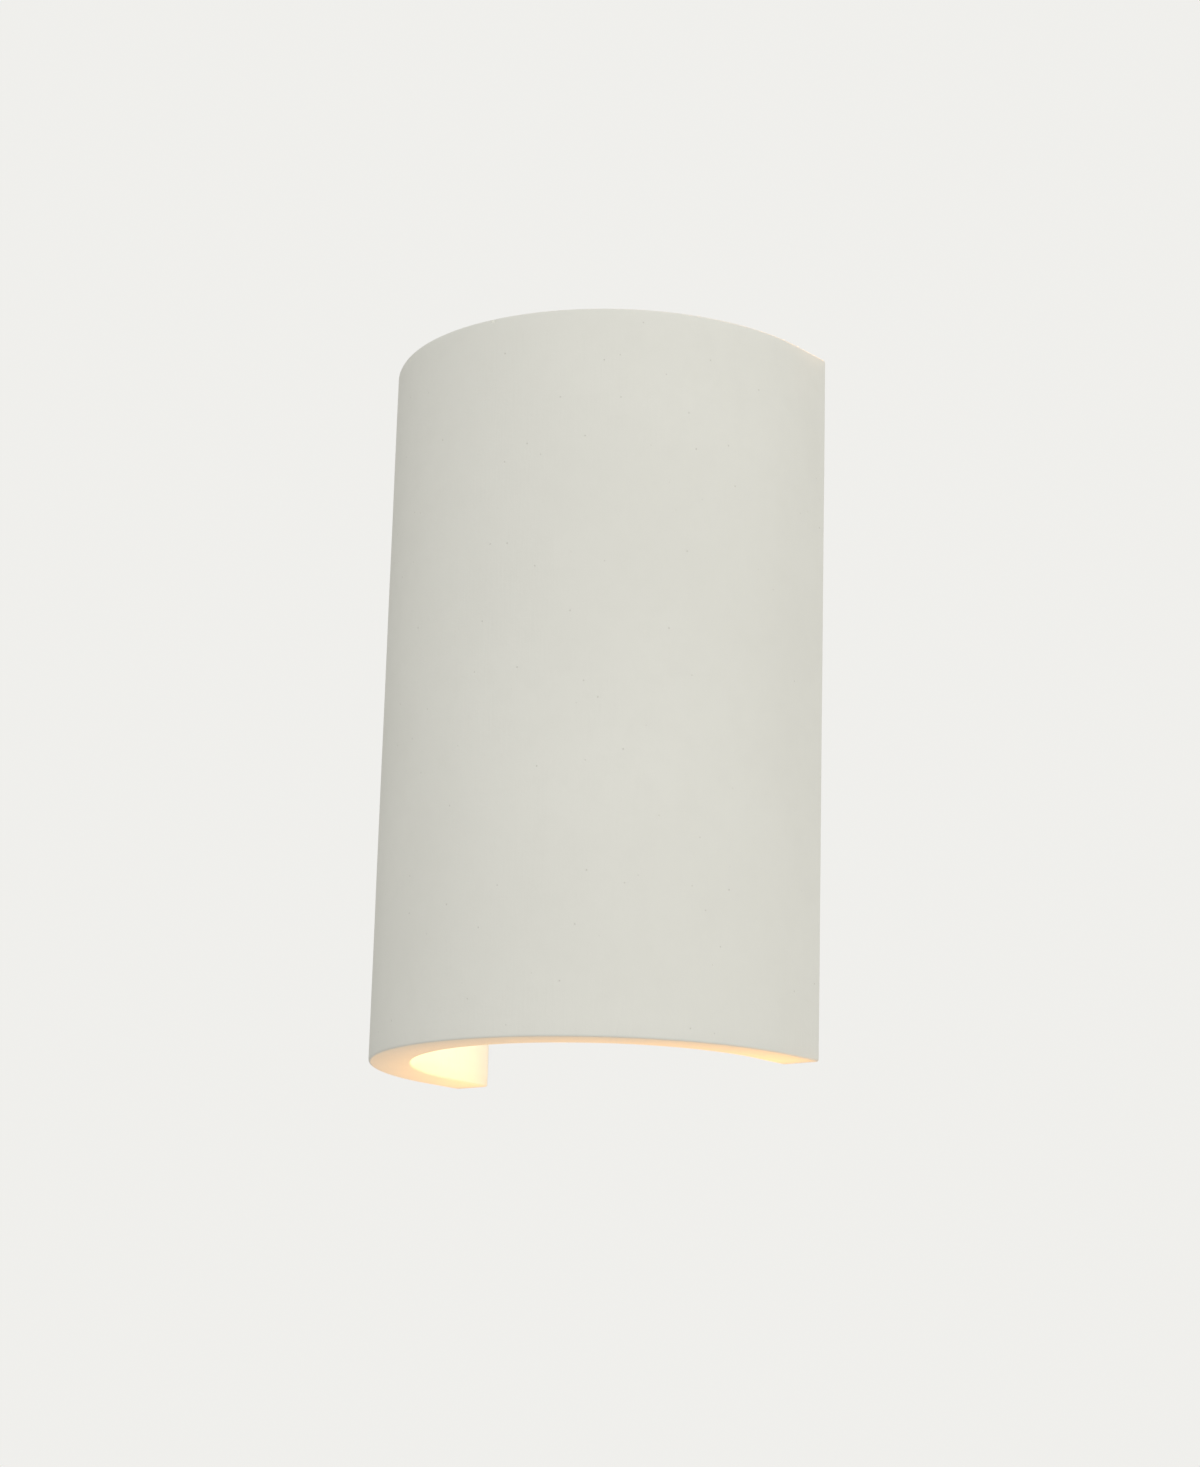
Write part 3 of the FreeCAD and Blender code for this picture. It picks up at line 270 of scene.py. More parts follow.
@dataclass(frozen=True)
class PlasterFinish:
    """Cast gypsum rubbed smooth: soft clouds, a fine grain, a few pin holes, rubbing marks."""

    pale: Colour = (0.85, 0.848, 0.785)
    deep: Colour = (0.80, 0.797, 0.735)
    pore: Colour = (0.62, 0.60, 0.55)

    def make(self, name: str) -> bpy.types.Material:
        """Return the material, under a name."""
        made = ShaderBuilder(name)
        clouds = made.noise(size=0.05, detail=4.0)
        mottle = made.noise(size=0.006, detail=3.0)
        grain = made.noise(size=0.0007, detail=2.0)
        rubbing = made.noise(size=0.004, detail=3.0, stretch=(6.0, 6.0, 0.35))
        pores = made.ranged(made.cells(size=0.0045), 0.035, 0.06)
        colour = made.blended(made.ranged(clouds, 0.3, 0.7, 0.0, 0.6), self.pale, self.deep)
        colour = made.blended(made.ranged(mottle, 0.45, 0.85, 0.0, 0.35), colour, self.deep)
        colour = made.blended(made.ranged(pores, 1.0, 0.0, 0.0, 0.5), colour, self.pore)
        made.paint(colour, made.ranged(mottle, 0.3, 0.7, 0.84, 0.96))
        made.relief([(clouds, 0.00012), (rubbing, 0.00004), (grain, 0.00002), (pores, 0.00006)])
        made.constants(Specular_IOR_Level=0.25)
        return made.material


@dataclass(frozen=True)
class PaintFinish:
    """Powder coat: an even colour with a slight orange-peel relief."""

    colour: Colour = (0.83, 0.83, 0.80)
    worn: Colour = (0.74, 0.74, 0.71)

    def make(self, name: str) -> bpy.types.Material:
        """Return the material, under a name."""
        made = ShaderBuilder(name)
        peel = made.noise(size=0.0012, detail=1.0)
        dust = made.noise(size=0.014, detail=4.0)
        colour = made.blended(made.ranged(dust, 0.45, 0.8, 0.0, 0.6), self.colour, self.worn)
        made.paint(colour, made.ranged(dust, 0.3, 0.7, 0.36, 0.5))
        made.relief([(peel, 0.00003)])
        return made.material


@dataclass(frozen=True)
class MetalFinish:
    """A metal skin with crystal patches, drawn lines and dull stains."""

    bright: Colour
    dull: Colour
    smooth: float
    rough: float
    lines: Point = (1.0, 1.0, 6.0)
    crystal: float = 0.0025

    def make(self, name: str) -> bpy.types.Material:
        """Return the material, under a name."""
        made = ShaderBuilder(name)
        crystals = made.cells(size=self.crystal, output="Color")
        stains = made.noise(size=0.004, detail=5.0)
        drawn = made.noise(size=0.0012, detail=2.0, stretch=self.lines)
        split = made.node("ShaderNodeSeparateColor")
        made.join(crystals, split.inputs[0])
        share = made.combined("ADD", made.combined("MULTIPLY", split.outputs[0], 0.35),
                              made.ranged(stains, 0.35, 0.75, 0.0, 0.65))
        colour = made.blended(share, self.bright, self.dull)
        made.paint(colour, made.ranged(share, 0.0, 1.0, self.smooth, self.rough))
        made.relief([(drawn, 0.00001)])
        made.constants(Metallic=1.0)
        return made.material


@dataclass(frozen=True)
class MouldedFinish:
    """A moulded or pressed skin, such as nylon, rubber or steatite, with grain and specks."""

    colour: Colour
    shade: Colour
    roughness: tuple[float, float]
    grain: float = 0.0005
    depth: float = 0.00001
    glow: float = 0.0
    coat: float = 0.0

    def make(self, name: str) -> bpy.types.Material:
        """Return the material, under a name."""
        made = ShaderBuilder(name)
        patches = made.noise(size=0.008, detail=4.0)
        grain = made.noise(size=self.grain, detail=2.0)
        specks = made.ranged(made.cells(size=0.0016), 0.08, 0.12, 1.0, 0.0)
        colour = made.blended(made.ranged(patches, 0.35, 0.75, 0.0, 0.7), self.colour, self.shade)
        colour = made.blended(made.combined("MULTIPLY", specks, 0.4), colour, self.shade)
        made.paint(colour, made.ranged(patches, 0.3, 0.7, *self.roughness))
        made.relief([(patches, self.depth * 2), (grain, self.depth)])
        made.constants(Subsurface_Weight=self.glow, Subsurface_Scale=0.001, Coat_Weight=self.coat)
        return made.material


@dataclass(frozen=True)
class SleevingFinish:
    """A lead's rubbery sleeve, plain or with a second colour in stripes along its length."""

    colour: Colour
    stripe: Colour | None = None
    stripe_edge: float = 0.55

    def make(self, name: str) -> bpy.types.Material:
        """Return the material, under a name."""
        made = ShaderBuilder(name)
        scuffs = made.noise(size=0.003, detail=4.0)
        darker = tuple(part * 0.7 for part in self.colour)
        colour = made.blended(made.ranged(scuffs, 0.4, 0.8, 0.0, 0.5), self.colour, darker)
        if self.stripe is not None:
            split = made.node("ShaderNodeSeparateXYZ")
            made.join(made.coordinates.outputs["Normal"], split.inputs[0])
            side = made.combined("ABSOLUTE", split.outputs["Y"], 0.0)
            edge = made.ranged(side, self.stripe_edge - 0.03, self.stripe_edge + 0.03)
            colour = made.blended(edge, colour, self.stripe)
        made.paint(colour, made.ranged(scuffs, 0.3, 0.7, 0.38, 0.55))
        made.relief([(scuffs, 0.00002)])
        return made.material


@dataclass(frozen=True)
class GlassFinish:
    """Clear blown glass with a faint waviness."""

    tint: Colour = (0.99, 0.99, 0.98)

    def make(self, name: str) -> bpy.types.Material:
        """Return the material, under a name."""
        made = ShaderBuilder(name)
        made.relief([(made.noise(size=0.01, detail=1.0), 0.00003)])
        made.constants(Base_Color=(*self.tint, 1.0), Transmission_Weight=1.0, Roughness=0.02, IOR=1.47)
        return made.material


@dataclass(frozen=True)
class BoardFinish:
    """The chip carrier's white coat, with the lines of its tracks just showing."""

    colour: Colour = (0.86, 0.84, 0.78)
    track: Colour = (0.70, 0.60, 0.42)

    def make(self, name: str) -> bpy.types.Material:
        """Return the material, under a name."""
        made = ShaderBuilder(name)
        rows = made.node("ShaderNodeTexWave", bands_direction="Z")
        rows.inputs["Scale"].default_value = 200.0
        made.join(made.place, rows.inputs["Vector"])
        tracks = made.ranged(rows.outputs["Fac"], 0.9, 0.97)
        colour = made.blended(made.combined("MULTIPLY", tracks, 0.6), self.colour, self.track)
        made.paint(colour, made.ranged(made.noise(size=0.002), 0.3, 0.7, 0.3, 0.45))
        made.relief([(tracks, 0.00003)])
        return made.material


@dataclass(frozen=True)
class PhosphorFinish:
    """The chips' yellow face, which gives out warm white light."""

    colour: Colour = (0.95, 0.70, 0.28)
    light: Colour = (1.0, 0.82, 0.58)
    strength: float = 85.0

    def make(self, name: str) -> bpy.types.Material:
        """Return the material, under a name."""
        made = ShaderBuilder(name)
        grain = made.noise(size=0.0003, detail=2.0)
        pale = tuple(min(1.0, part * 1.1) for part in self.colour)
        made.paint(made.blended(grain, self.colour, pale), made.ranged(grain, 0.3, 0.7, 0.4, 0.6))
        made.relief([(grain, 0.00002)])
        made.constants(Emission_Color=(*self.light, 1.0), Emission_Strength=self.strength)
        return made.material


FINISHES: dict[Slot, object] = {
    Slot.PLASTER: PlasterFinish(),
    Slot.PAINTED_STEEL: PaintFinish(),
    Slot.ZINC_STEEL: MetalFinish((0.70, 0.72, 0.74), (0.50, 0.51, 0.50), 0.24, 0.42),
    Slot.BRASS: MetalFinish((0.83, 0.60, 0.27), (0.55, 0.38, 0.16), 0.22, 0.45),
    Slot.TIN: MetalFinish((0.78, 0.78, 0.76), (0.56, 0.55, 0.53), 0.3, 0.5),
    Slot.NYLON: MouldedFinish((0.84, 0.83, 0.78), (0.78, 0.76, 0.69), (0.38, 0.5), glow=0.2),
    Slot.RUBBER: MouldedFinish((0.028, 0.028, 0.028), (0.055, 0.053, 0.05), (0.6, 0.8), depth=0.00002),
    Slot.CERAMIC: MouldedFinish((0.86, 0.84, 0.77), (0.80, 0.76, 0.67), (0.45, 0.62), coat=0.15),
    Slot.BROWN: SleevingFinish((0.17, 0.065, 0.03)),
    Slot.BLUE: SleevingFinish((0.05, 0.17, 0.5)),
    Slot.GREEN_YELLOW: SleevingFinish((0.06, 0.33, 0.08), stripe=(0.83, 0.66, 0.05)),
    Slot.LAMP_BASE: MouldedFinish((0.87, 0.86, 0.82), (0.81, 0.80, 0.75), (0.22, 0.34), coat=0.2),
    Slot.GLASS: GlassFinish(),
    Slot.BOARD: BoardFinish(),
    Slot.PHOSPHOR: PhosphorFinish(),
}


class FinishShelf:
    """Makes each finish's material once and hands it out."""

    def __init__(self) -> None:
        """Start with an empty shelf."""
        self.made: dict[Slot, bpy.types.Material] = {}

    def take(self, slot: Slot) -> bpy.types.Material:
        """Return a slot's material, made at its first use."""
        if slot not in self.made:
            self.made[slot] = FINISHES[slot].make(f"{slot.value}_finish")
        return self.made[slot]

    def dress(self, finishes: dict[str, Slot]) -> None:
        """Give carried-over nodes their finishes.

        Args:
            finishes: The material slot that each node takes, by the node's name.
        """
        for name, slot in finishes.items():
            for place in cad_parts[name].material_slots:
                place.material = self.take(slot)
            LOG.info("dressed %s in %s", name, slot.value)


# ------------------------------------------------------------------ bench tools


class Primitive(Enum):
    """The shapes that a piece starts from."""

    CUBE = "primitive_cube_add"
    CYLINDER = "primitive_cylinder_add"
    GRID = "primitive_grid_add"
    BALL = "primitive_uv_sphere_add"
    ICO_BALL = "primitive_ico_sphere_add"


class Element(Enum):
    """What is picked in edit mode."""

    VERTEX = "VERT"
    EDGE = "EDGE"
    FACE = "FACE"


def hold(*pieces: bpy.types.Object) -> None:
    """Select only these pieces, the first of them active."""
    bpy.ops.object.select_all(action="DESELECT")
    for piece in pieces:
        piece.select_set(True)
    bpy.context.view_layer.objects.active = pieces[0]


def add(shape: Primitive, name: str, stretch: Point = (1.0, 1.0, 1.0),
        **sizes: object) -> bpy.types.Object:
    """Add a primitive at its size and place.

    Args:
        shape: The primitive.
        name: The piece's name.
        stretch: Its scale along each of its own axes.
        sizes: The operator's own settings.

    Returns:
        The piece, unturned and unscaled, with its place in its mesh.
    """
    bpy.ops.object.select_all(action="DESELECT")
    getattr(bpy.ops.mesh, shape.value)(**sizes)
    piece = bpy.context.active_object
    piece.name = name
    piece.data.name = name
    piece.scale = stretch
    bpy.ops.object.transform_apply(location=True, rotation=True, scale=True)
    return piece


@contextmanager
def editing(piece: bpy.types.Object, element: Element) -> Iterator[None]:
    """Work on a piece in edit mode, with what was picked still selected."""
    hold(piece)
    bpy.ops.object.mode_set(mode="EDIT")
    bpy.ops.mesh.select_mode(type=element.value)
    yield
    bpy.ops.object.mode_set(mode="OBJECT")


def pick(piece: bpy.types.Object, element: Element, test: Callable[..., bool]) -> None:
    """Select the elements of a mesh that pass a test, and no others.

    Args:
        piece: The piece.
        element: What to pick.
        test: Called with a vertex's place, an edge's two ends, or a face's centre and normal.
    """
    mesh = piece.data
    for group in (mesh.vertices, mesh.edges, mesh.polygons):
        group.foreach_set("select", [False] * len(group))
    if element is Element.VERTEX:
        found = [vertex for vertex in mesh.vertices if test(vertex.co)]
    elif element is Element.EDGE:
        found = [edge for edge in mesh.edges
                 if test(*(mesh.vertices[index].co for index in edge.vertices))]
    else:
        found = [face for face in mesh.polygons if test(face.center, face.normal)]
    for item in found:
        item.select = True


def apply_modifier(piece: bpy.types.Object, kind: str, **settings: object) -> None:
    """Add a modifier and apply it.

    Args:
        piece: The piece.
        kind: The modifier's type.
        settings: The modifier's own settings.
    """
    hold(piece)
    modifier = piece.modifiers.new(kind.lower(), kind)
    for name, value in settings.items():
        setattr(modifier, name, value)
    bpy.ops.object.modifier_apply(modifier=modifier.name)


def carve(piece: bpy.types.Object, tool: bpy.types.Object, operation: str = "DIFFERENCE") -> None:
    """Cut a piece with a tool, which is then thrown away.

    Args:
        piece: The piece.
        tool: A closed mesh.
        operation: The Boolean modifier's operation.
    """
    apply_modifier(piece, "BOOLEAN", operation=operation, solver="EXACT", object=tool)
    bpy.data.objects.remove(tool)


def join(name: str, pieces: Sequence[bpy.types.Object]) -> bpy.types.Object:
    """Make several pieces one, under a name."""
    hold(*pieces)
    if len(pieces) > 1:
        bpy.ops.object.join()
    pieces[0].name = name
    pieces[0].data.name = name
    return pieces[0]


def copy_to(piece: bpy.types.Object, name: str, matrix: Matrix) -> bpy.types.Object:
    """Copy a piece with its own mesh, placed by a matrix.

    Args:
        piece: The piece to copy.
        name: The copy's name.
        matrix: Where the copy's mesh goes.

    Returns:
        The copy.
    """
    twin = piece.copy()
    twin.data = piece.data.copy()
    twin.name = name
    twin.data.name = name
    twin.data.transform(matrix)
    bpy.context.scene.collection.objects.link(twin)
    return twin


def true_up(piece: bpy.types.Object) -> None:
    """Merge what coincides and turn every face outwards."""
    pick(piece, Element.VERTEX, lambda place: True)
    with editing(piece, Element.VERTEX):
        bpy.ops.mesh.remove_doubles(threshold=MERGING)
        bpy.ops.mesh.normals_make_consistent(inside=False)


def smooth(piece: bpy.types.Object, angle: float = 35.0) -> None:
    """Shade a piece smooth where its faces meet at less than an angle, in degrees."""
    hold(piece)
    bpy.ops.object.shade_smooth_by_angle(angle=math.radians(angle))


def settle(piece: bpy.types.Object, body: Body, slot: Slot, shelf: FinishShelf, *nodes: str) -> None:
    """Dress a new piece and fasten it to the frame.

    Args:
        piece: The piece.
        body: The body that it moves with.
        slot: The material slot that it takes.
        shelf: Where its finish comes from.
        nodes: The nodes that it stands for.
    """
    if not piece.data.materials:
        piece.data.materials.append(shelf.take(slot))
    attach(piece, body.value)
    if nodes:
        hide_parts(*nodes)
    LOG.info("made %s: %d faces, on %s", piece.name, len(piece.data.polygons), body.value)


def span(node: str) -> tuple[Vector, Vector]:
    """Return a node's lowest and highest corners."""
    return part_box(node)


# ------------------------------------------------------------------ screws and nuts


@dataclass(frozen=True)
class DriverTip:
    """A driver's tip: its blades' turns, and their sizes as shares of the head's radius or rise."""

    turns: tuple[float, ...]
    reach: float
    width: float
    taper: tuple[float, float] = (1.0, 1.0)
    depth: float = 0.55


class Drive(Enum):
    """The shape that is sunk into a screw's head."""

    CROSS = DriverTip((0.0, math.pi / 2), reach=1.25, width=0.26, taper=(0.45, 0.7))
    SLOT = DriverTip((0.0,), reach=2.2, width=0.3)


class Facing(Enum):
    """Which way a screw's head faces."""

    ROOM = "room"
    UP = "up"
    INWARD = "inward"


@dataclass(frozen=True)
class ScrewKind:
    """A screw's own sizes, whatever its length, and its details as shares of those."""

    thread: float
    pitch: float
    head_radius: float
    head_rise: float
    drive: Drive
    dome: float = 0.45
    tip_bevel: float = 0.35
    shank_depth: float = 0.45
    ridge_depth: float = 0.5
    ridge_start: float = 0.6
    ridge_foot: float = 0.8
    ridge_crest: float = 0.2

    def model(self, length: float) -> bpy.types.Object:
        """Model one screw that stands head up, its seat at the origin.

        Args:
            length: The shank's length.

        Returns:
            The screw.
        """
        return join("screw_model", [self.head(), self.shank(length), self.ridge(length)])

    def head(self) -> bpy.types.Object:
        """Turn the head, dome its edge and sink its drive."""
        head = add(Primitive.CYLINDER, "screw_head", vertices=40, radius=self.head_radius,
                   depth=self.head_rise, location=(0.0, 0.0, self.head_rise / 2))
        top = self.head_rise * NEARLY
        pick(head, Element.EDGE, lambda first, second: min(first.z, second.z) > top)
        with editing(head, Element.EDGE):
            bpy.ops.mesh.bevel(offset=self.head_rise * self.dome, segments=5, profile=0.5)
        for turn in self.drive.value.turns:
            carve(head, self.blade(turn))
        smooth(head, 40.0)
        return head

    def blade(self, turn: float) -> bpy.types.Object:
        """Make one blade of the driver's tip.

        Args:
            turn: Its angle about the screw.

        Returns:
            The blade, tapered for a cross and straight for a slot.
        """
        tip = self.drive.value
        stretch = (self.head_radius * tip.reach, self.head_radius * tip.width, self.head_rise * tip.depth * 2)
        blade = add(Primitive.CUBE, "driver_blade", stretch, size=1.0, location=(0.0, 0.0, self.head_rise))
        pick(blade, Element.VERTEX, lambda place: place.z < self.head_rise)
        with editing(blade, Element.VERTEX):
            bpy.ops.transform.resize(value=(*tip.taper, 1.0), center_override=(0.0, 0.0, 0.0))
        blade.data.transform(Matrix.Rotation(turn, 4, "Z"))
        return blade

    def shank(self, length: float) -> bpy.types.Object:
        """Turn the shank at the thread's root, with a bevelled tip."""
        root = self.thread / 2 - self.pitch * self.shank_depth
        shank = add(Primitive.CYLINDER, "screw_shank", vertices=24, radius=root, depth=length,
                    location=(0.0, 0.0, -length / 2))
        pick(shank, Element.EDGE, lambda first, second: max(first.z, second.z) < -length * NEARLY)
        with editing(shank, Element.EDGE):
            bpy.ops.mesh.bevel(offset=root * self.tip_bevel, segments=1)
        smooth(shank, 50.0)
        return shank

    def ridge(self, length: float) -> bpy.types.Object:
        """Wind the thread's ridge up the shank."""
        root = self.thread / 2 - self.pitch * self.ridge_depth
        turns = max(1, int(length / self.pitch) - 1)
        start = -length + self.pitch * self.ridge_start
        section = (self.thread / 2 - root, self.pitch * self.ridge_foot, 1.0)
        ridge = add(Primitive.GRID, "screw_ridge", section, x_subdivisions=1, y_subdivisions=1, size=1.0,
                    rotation=(math.pi / 2, 0.0, 0.0), location=((root + self.thread / 2) / 2, 0.0, start))
        pick(ridge, Element.VERTEX, lambda place: place.x > root + TOUCHING)
        with editing(ridge, Element.VERTEX):
            bpy.ops.transform.resize(value=(1.0, 1.0, self.ridge_crest), center_override=(0.0, 0.0, start))
        apply_modifier(ridge, "SCREW", steps=20, render_steps=20, screw_offset=self.pitch,
                       iterations=turns, angle=math.tau, use_normal_calculate=True)
        pick(ridge, Element.VERTEX, lambda place: True)
        with editing(ridge, Element.VERTEX):
            bpy.ops.mesh.fill_holes(sides=4)
        true_up(ridge)
        smooth(ridge, 40.0)
        return ridge


@dataclass(frozen=True)
class ScrewSet:
    """All the screws of one node, placed from the node's box."""

    node: str
    body: Body
    kind: ScrewKind
    facing: Facing
    across: int
    along: int

    def build(self, shelf: FinishShelf) -> None:
        """Model one screw and copy it to each place.

        Args:
            shelf: Where the finish comes from.
        """
        length, places = self.lay_out()
        model = self.kind.model(length)
        copies = [copy_to(model, f"screw_{number}", place) for number, place in enumerate(places)]
        bpy.data.objects.remove(model)
        group = join(f"{self.node}_threaded", copies)
        settle(group, self.body, Slot.ZINC_STEEL, shelf, self.node)

    def lay_out(self) -> tuple[float, list[Matrix]]:
        """Read the shank's length and each screw's place and turn from the node's box."""
        low, high = span(self.node)
        radius, rise = self.kind.head_radius, self.kind.head_rise
        places: list[Matrix] = []
        if self.facing is Facing.ROOM:
            length = high.y - low.y - rise
            turn = Matrix.Rotation(math.pi / 2, 4, "X")
            for x in self.spread(low.x + radius, high.x - radius, self.across):
                for z in self.spread(low.z + radius, high.z - radius, self.along):
                    places.append(Matrix.Translation((x, low.y + rise, z)) @ turn)
        elif self.facing is Facing.UP:
            length = high.z - low.z - rise
            for y in self.spread(low.y + radius, high.y - radius, self.along):
                places.append(Matrix.Translation(((low.x + high.x) / 2, y, high.z - rise)))
        else:
            plate = span("hanger_plate_right")[0].x
            length = high.x - plate
            for side in (-1, 1):
                turn = Matrix.Rotation(-math.pi / 2 * side, 4, "Y")
                for z in self.spread(low.z + radius, high.z - radius, self.along):
                    places.append(Matrix.Translation((plate * side, (low.y + high.y) / 2, z)) @ turn)
        return length, places

    @staticmethod
    def spread(low: float, high: float, count: int) -> list[float]:
        """Return count evenly spaced places from low to high, or their middle if it is one."""
        if count == 1:
            return [(low + high) / 2]
        return [low + (high - low) * number / (count - 1) for number in range(count)]


LARGE_SCREW = ScrewKind(3.9 * MM, 0.7 * MM, 3.72 * MM, 2.72 * MM, Drive.CROSS)
SMALL_SCREW = ScrewKind(2.9 * MM, 0.5 * MM, 2.79 * MM, 2.04 * MM, Drive.CROSS)
SMALL_SCREW_PITCH = 25.0 * MM
CLAMP_SCREW = ScrewKind(2.3 * MM, 0.45 * MM, 1.9 * MM, 1.45 * MM, Drive.SLOT)


@dataclass(frozen=True)
class HexNuts:
    """The nuts under the lampholder: hexagons with turned-off corners and a bore."""

    node: str = "lampholder_nuts"
    bore: float = 3.1 * MM
    corner_bevel: float = 0.28 * MM

    def build(self, shelf: FinishShelf) -> None:
        """Model one nut and copy it under each screw.

        Args:
            shelf: Where the finish comes from.
        """
        low, high = span(self.node)
        thick = high.z - low.z
        wide, deep = high.x - low.x, high.y - low.y - SMALL_SCREW_PITCH
        radius = max(wide, deep) / 2
        corners_on_x = wide > deep
        nut = add(Primitive.CYLINDER, "nut_model", vertices=6, radius=radius, depth=thick,
                  rotation=(0.0, 0.0, math.pi / 6 if corners_on_x else 0.0))
        dome = add(Primitive.CYLINDER, "nut_dome", vertices=48, radius=radius, depth=thick)
        pick(dome, Element.EDGE, lambda first, second: abs(first.z - second.z) < thick / 2)
        with editing(dome, Element.EDGE):
            bpy.ops.mesh.bevel(offset=self.corner_bevel, segments=2)
        carve(nut, dome, "INTERSECT")
        bore = add(Primitive.CYLINDER, "nut_bore", vertices=32, radius=self.bore / 2, depth=thick * 2)
        carve(nut, bore)
        middle = (low + high) / 2
        copies = [copy_to(nut, f"nut_{side}", Matrix.Translation(
            (middle.x, middle.y + side * SMALL_SCREW_PITCH / 2, middle.z))) for side in (-1, 1)]
        bpy.data.objects.remove(nut)
        group = join(f"{self.node}_chamfered", copies)
        smooth(group, 25.0)
        settle(group, Body.BRACKET, Slot.ZINC_STEEL, shelf, self.node)


# ------------------------------------------------------------------ plaster shade


@dataclass
class PlasterShade:
    """The cast shade: a stilted arch in plan, open at both ends, with its hangers."""

    shelf: FinishShelf
    wall: float = 10.5 * MM
    straight: float = 13.0 * MM
    round_over: float = 1.5 * MM
    socket_radius: float = 2.5 * MM
    nick_turn: float = 5.5
    nick_radius: float = 0.8 * MM
    nick_drop: float = 0.25
    unevenness: float = 0.12 * MM
    unevenness_width: float = 0.035
    arc_steps: int = 120
    rows: int = 45
    screws: ScrewSet = ScrewSet("hanger_screws", Body.SHADE, SMALL_SCREW, Facing.INWARD, 1, 2)
    low: Vector = field(init=False)
    high: Vector = field(init=False)

    def __post_init__(self) -> None:
        """Take the shade's box from the frame."""
        self.low, self.high = span("plaster_shade")

    @property
    def spring(self) -> float:
        """Where the flat sides end and the half circle starts."""
        return self.high.y - self.straight

    def build(self) -> None:
        """Model the plaster and dress the hangers."""
        shell = self.sweep_wall()
        self.round_edges(shell)
        self.bore_sockets(shell)
        self.work_by_hand(shell)
        self.nick_rim(shell)
        smooth(shell)
        settle(shell, Body.SHADE, Slot.PLASTER, self.shelf, "plaster_shade")
        self.shelf.dress({
            "hanger_plate_left": Slot.ZINC_STEEL,
            "hanger_plate_right": Slot.ZINC_STEEL,
            "hanger_pins": Slot.ZINC_STEEL,
            "hanger_inserts": Slot.BRASS,
        })
        self.screws.build(self.shelf)

    def sweep_wall(self) -> bpy.types.Object:
        """Sweep the wall's section round the half circle and draw its ends back to the wall.

        Returns:
            The closed shell, with square edges.
        """
        inner = self.high.x - self.wall
        middle = ((inner + self.high.x) / 2, self.spring, (self.low.z + self.high.z) / 2)
        shell = add(Primitive.GRID, "plaster_shade_shell", (self.wall, self.high.z - self.low.z, 1.0),
                    x_subdivisions=1, y_subdivisions=self.rows, size=1.0, location=middle,
                    rotation=(math.pi / 2, 0.0, 0.0))
        pick(shell, Element.FACE, lambda centre, normal: True)
        with editing(shell, Element.FACE):
            bpy.ops.mesh.spin(steps=self.arc_steps, angle=math.pi, center=(0.0, self.spring, 0.0),
                              axis=(0.0, 0.0, 1.0))
        for side in (1, -1):
            pick(shell, Element.FACE, lambda centre, normal: abs(normal.y) > NEARLY
                 and centre.x * side > inner and abs(centre.y - self.spring) < CLOSE)
            with editing(shell, Element.FACE):
                bpy.ops.mesh.extrude_region_move(
                    TRANSFORM_OT_translate={"value": (0.0, self.straight, 0.0)})
        true_up(shell)
        return shell

    def round_edges(self, shell: bpy.types.Object) -> None:
        """Round the rims and the four upright edges at the back."""
        def is_edge(first: Vector, second: Vector) -> bool:
            """Tell whether an edge lies on a rim's outline or on an upright corner."""
            at_back = all(abs(place.y - self.high.y) < TOUCHING for place in (first, second))
            for level in (self.low.z, self.high.z):
                if all(abs(place.z - level) < TOUCHING for place in (first, second)):
                    across = (first - second).length > self.wall * 0.9
                    return at_back or not across
            return at_back and abs(first.x - second.x) < TOUCHING

        pick(shell, Element.EDGE, is_edge)
        with editing(shell, Element.EDGE):
            bpy.ops.mesh.bevel(offset=self.round_over, segments=5, profile=0.5, clamp_overlap=True)

    def bore_sockets(self, shell: bpy.types.Object) -> None:
        """Bore the four sockets that the brass inserts are bonded into."""
        low, high = span("hanger_inserts")
        radius = self.socket_radius
        spare = 1.0 * MM
        inner = self.high.x - self.wall
        for side in (-1, 1):
            for height in (low.z + radius, high.z - radius):
                reach = high.x - inner + spare
                tool = add(Primitive.CYLINDER, "socket_tool", vertices=32, radius=radius, depth=reach,
                           location=(side * (high.x - reach / 2), (low.y + high.y) / 2, height),
                           rotation=(0.0, math.pi / 2, 0.0))
                carve(shell, tool)

    def work_by_hand(self, shell: bpy.types.Object) -> None:
        """Give the faces the slight unevenness of rubbed plaster."""
        texture = bpy.data.textures.new("hand_rubbed", "CLOUDS")
        texture.noise_scale = self.unevenness_width
        texture.noise_depth = 2
        apply_modifier(shell, "DISPLACE", texture=texture, texture_coords="LOCAL", mid_level=0.5,
                       strength=self.unevenness)

    def nick_rim(self, shell: bpy.types.Object) -> None:
        """Knock the tiny nick out of the top rim's outer edge."""
        turn = math.radians(self.nick_turn)
        place = (self.high.x * math.sin(turn), self.spring - self.high.x * math.cos(turn),
                 self.high.z - self.round_over * self.nick_drop)
        tool = add(Primitive.ICO_BALL, "nick_tool", subdivisions=2, radius=self.nick_radius,
                   location=place)
        carve(shell, tool)


# ------------------------------------------------------------------ bracket, terminals and holder


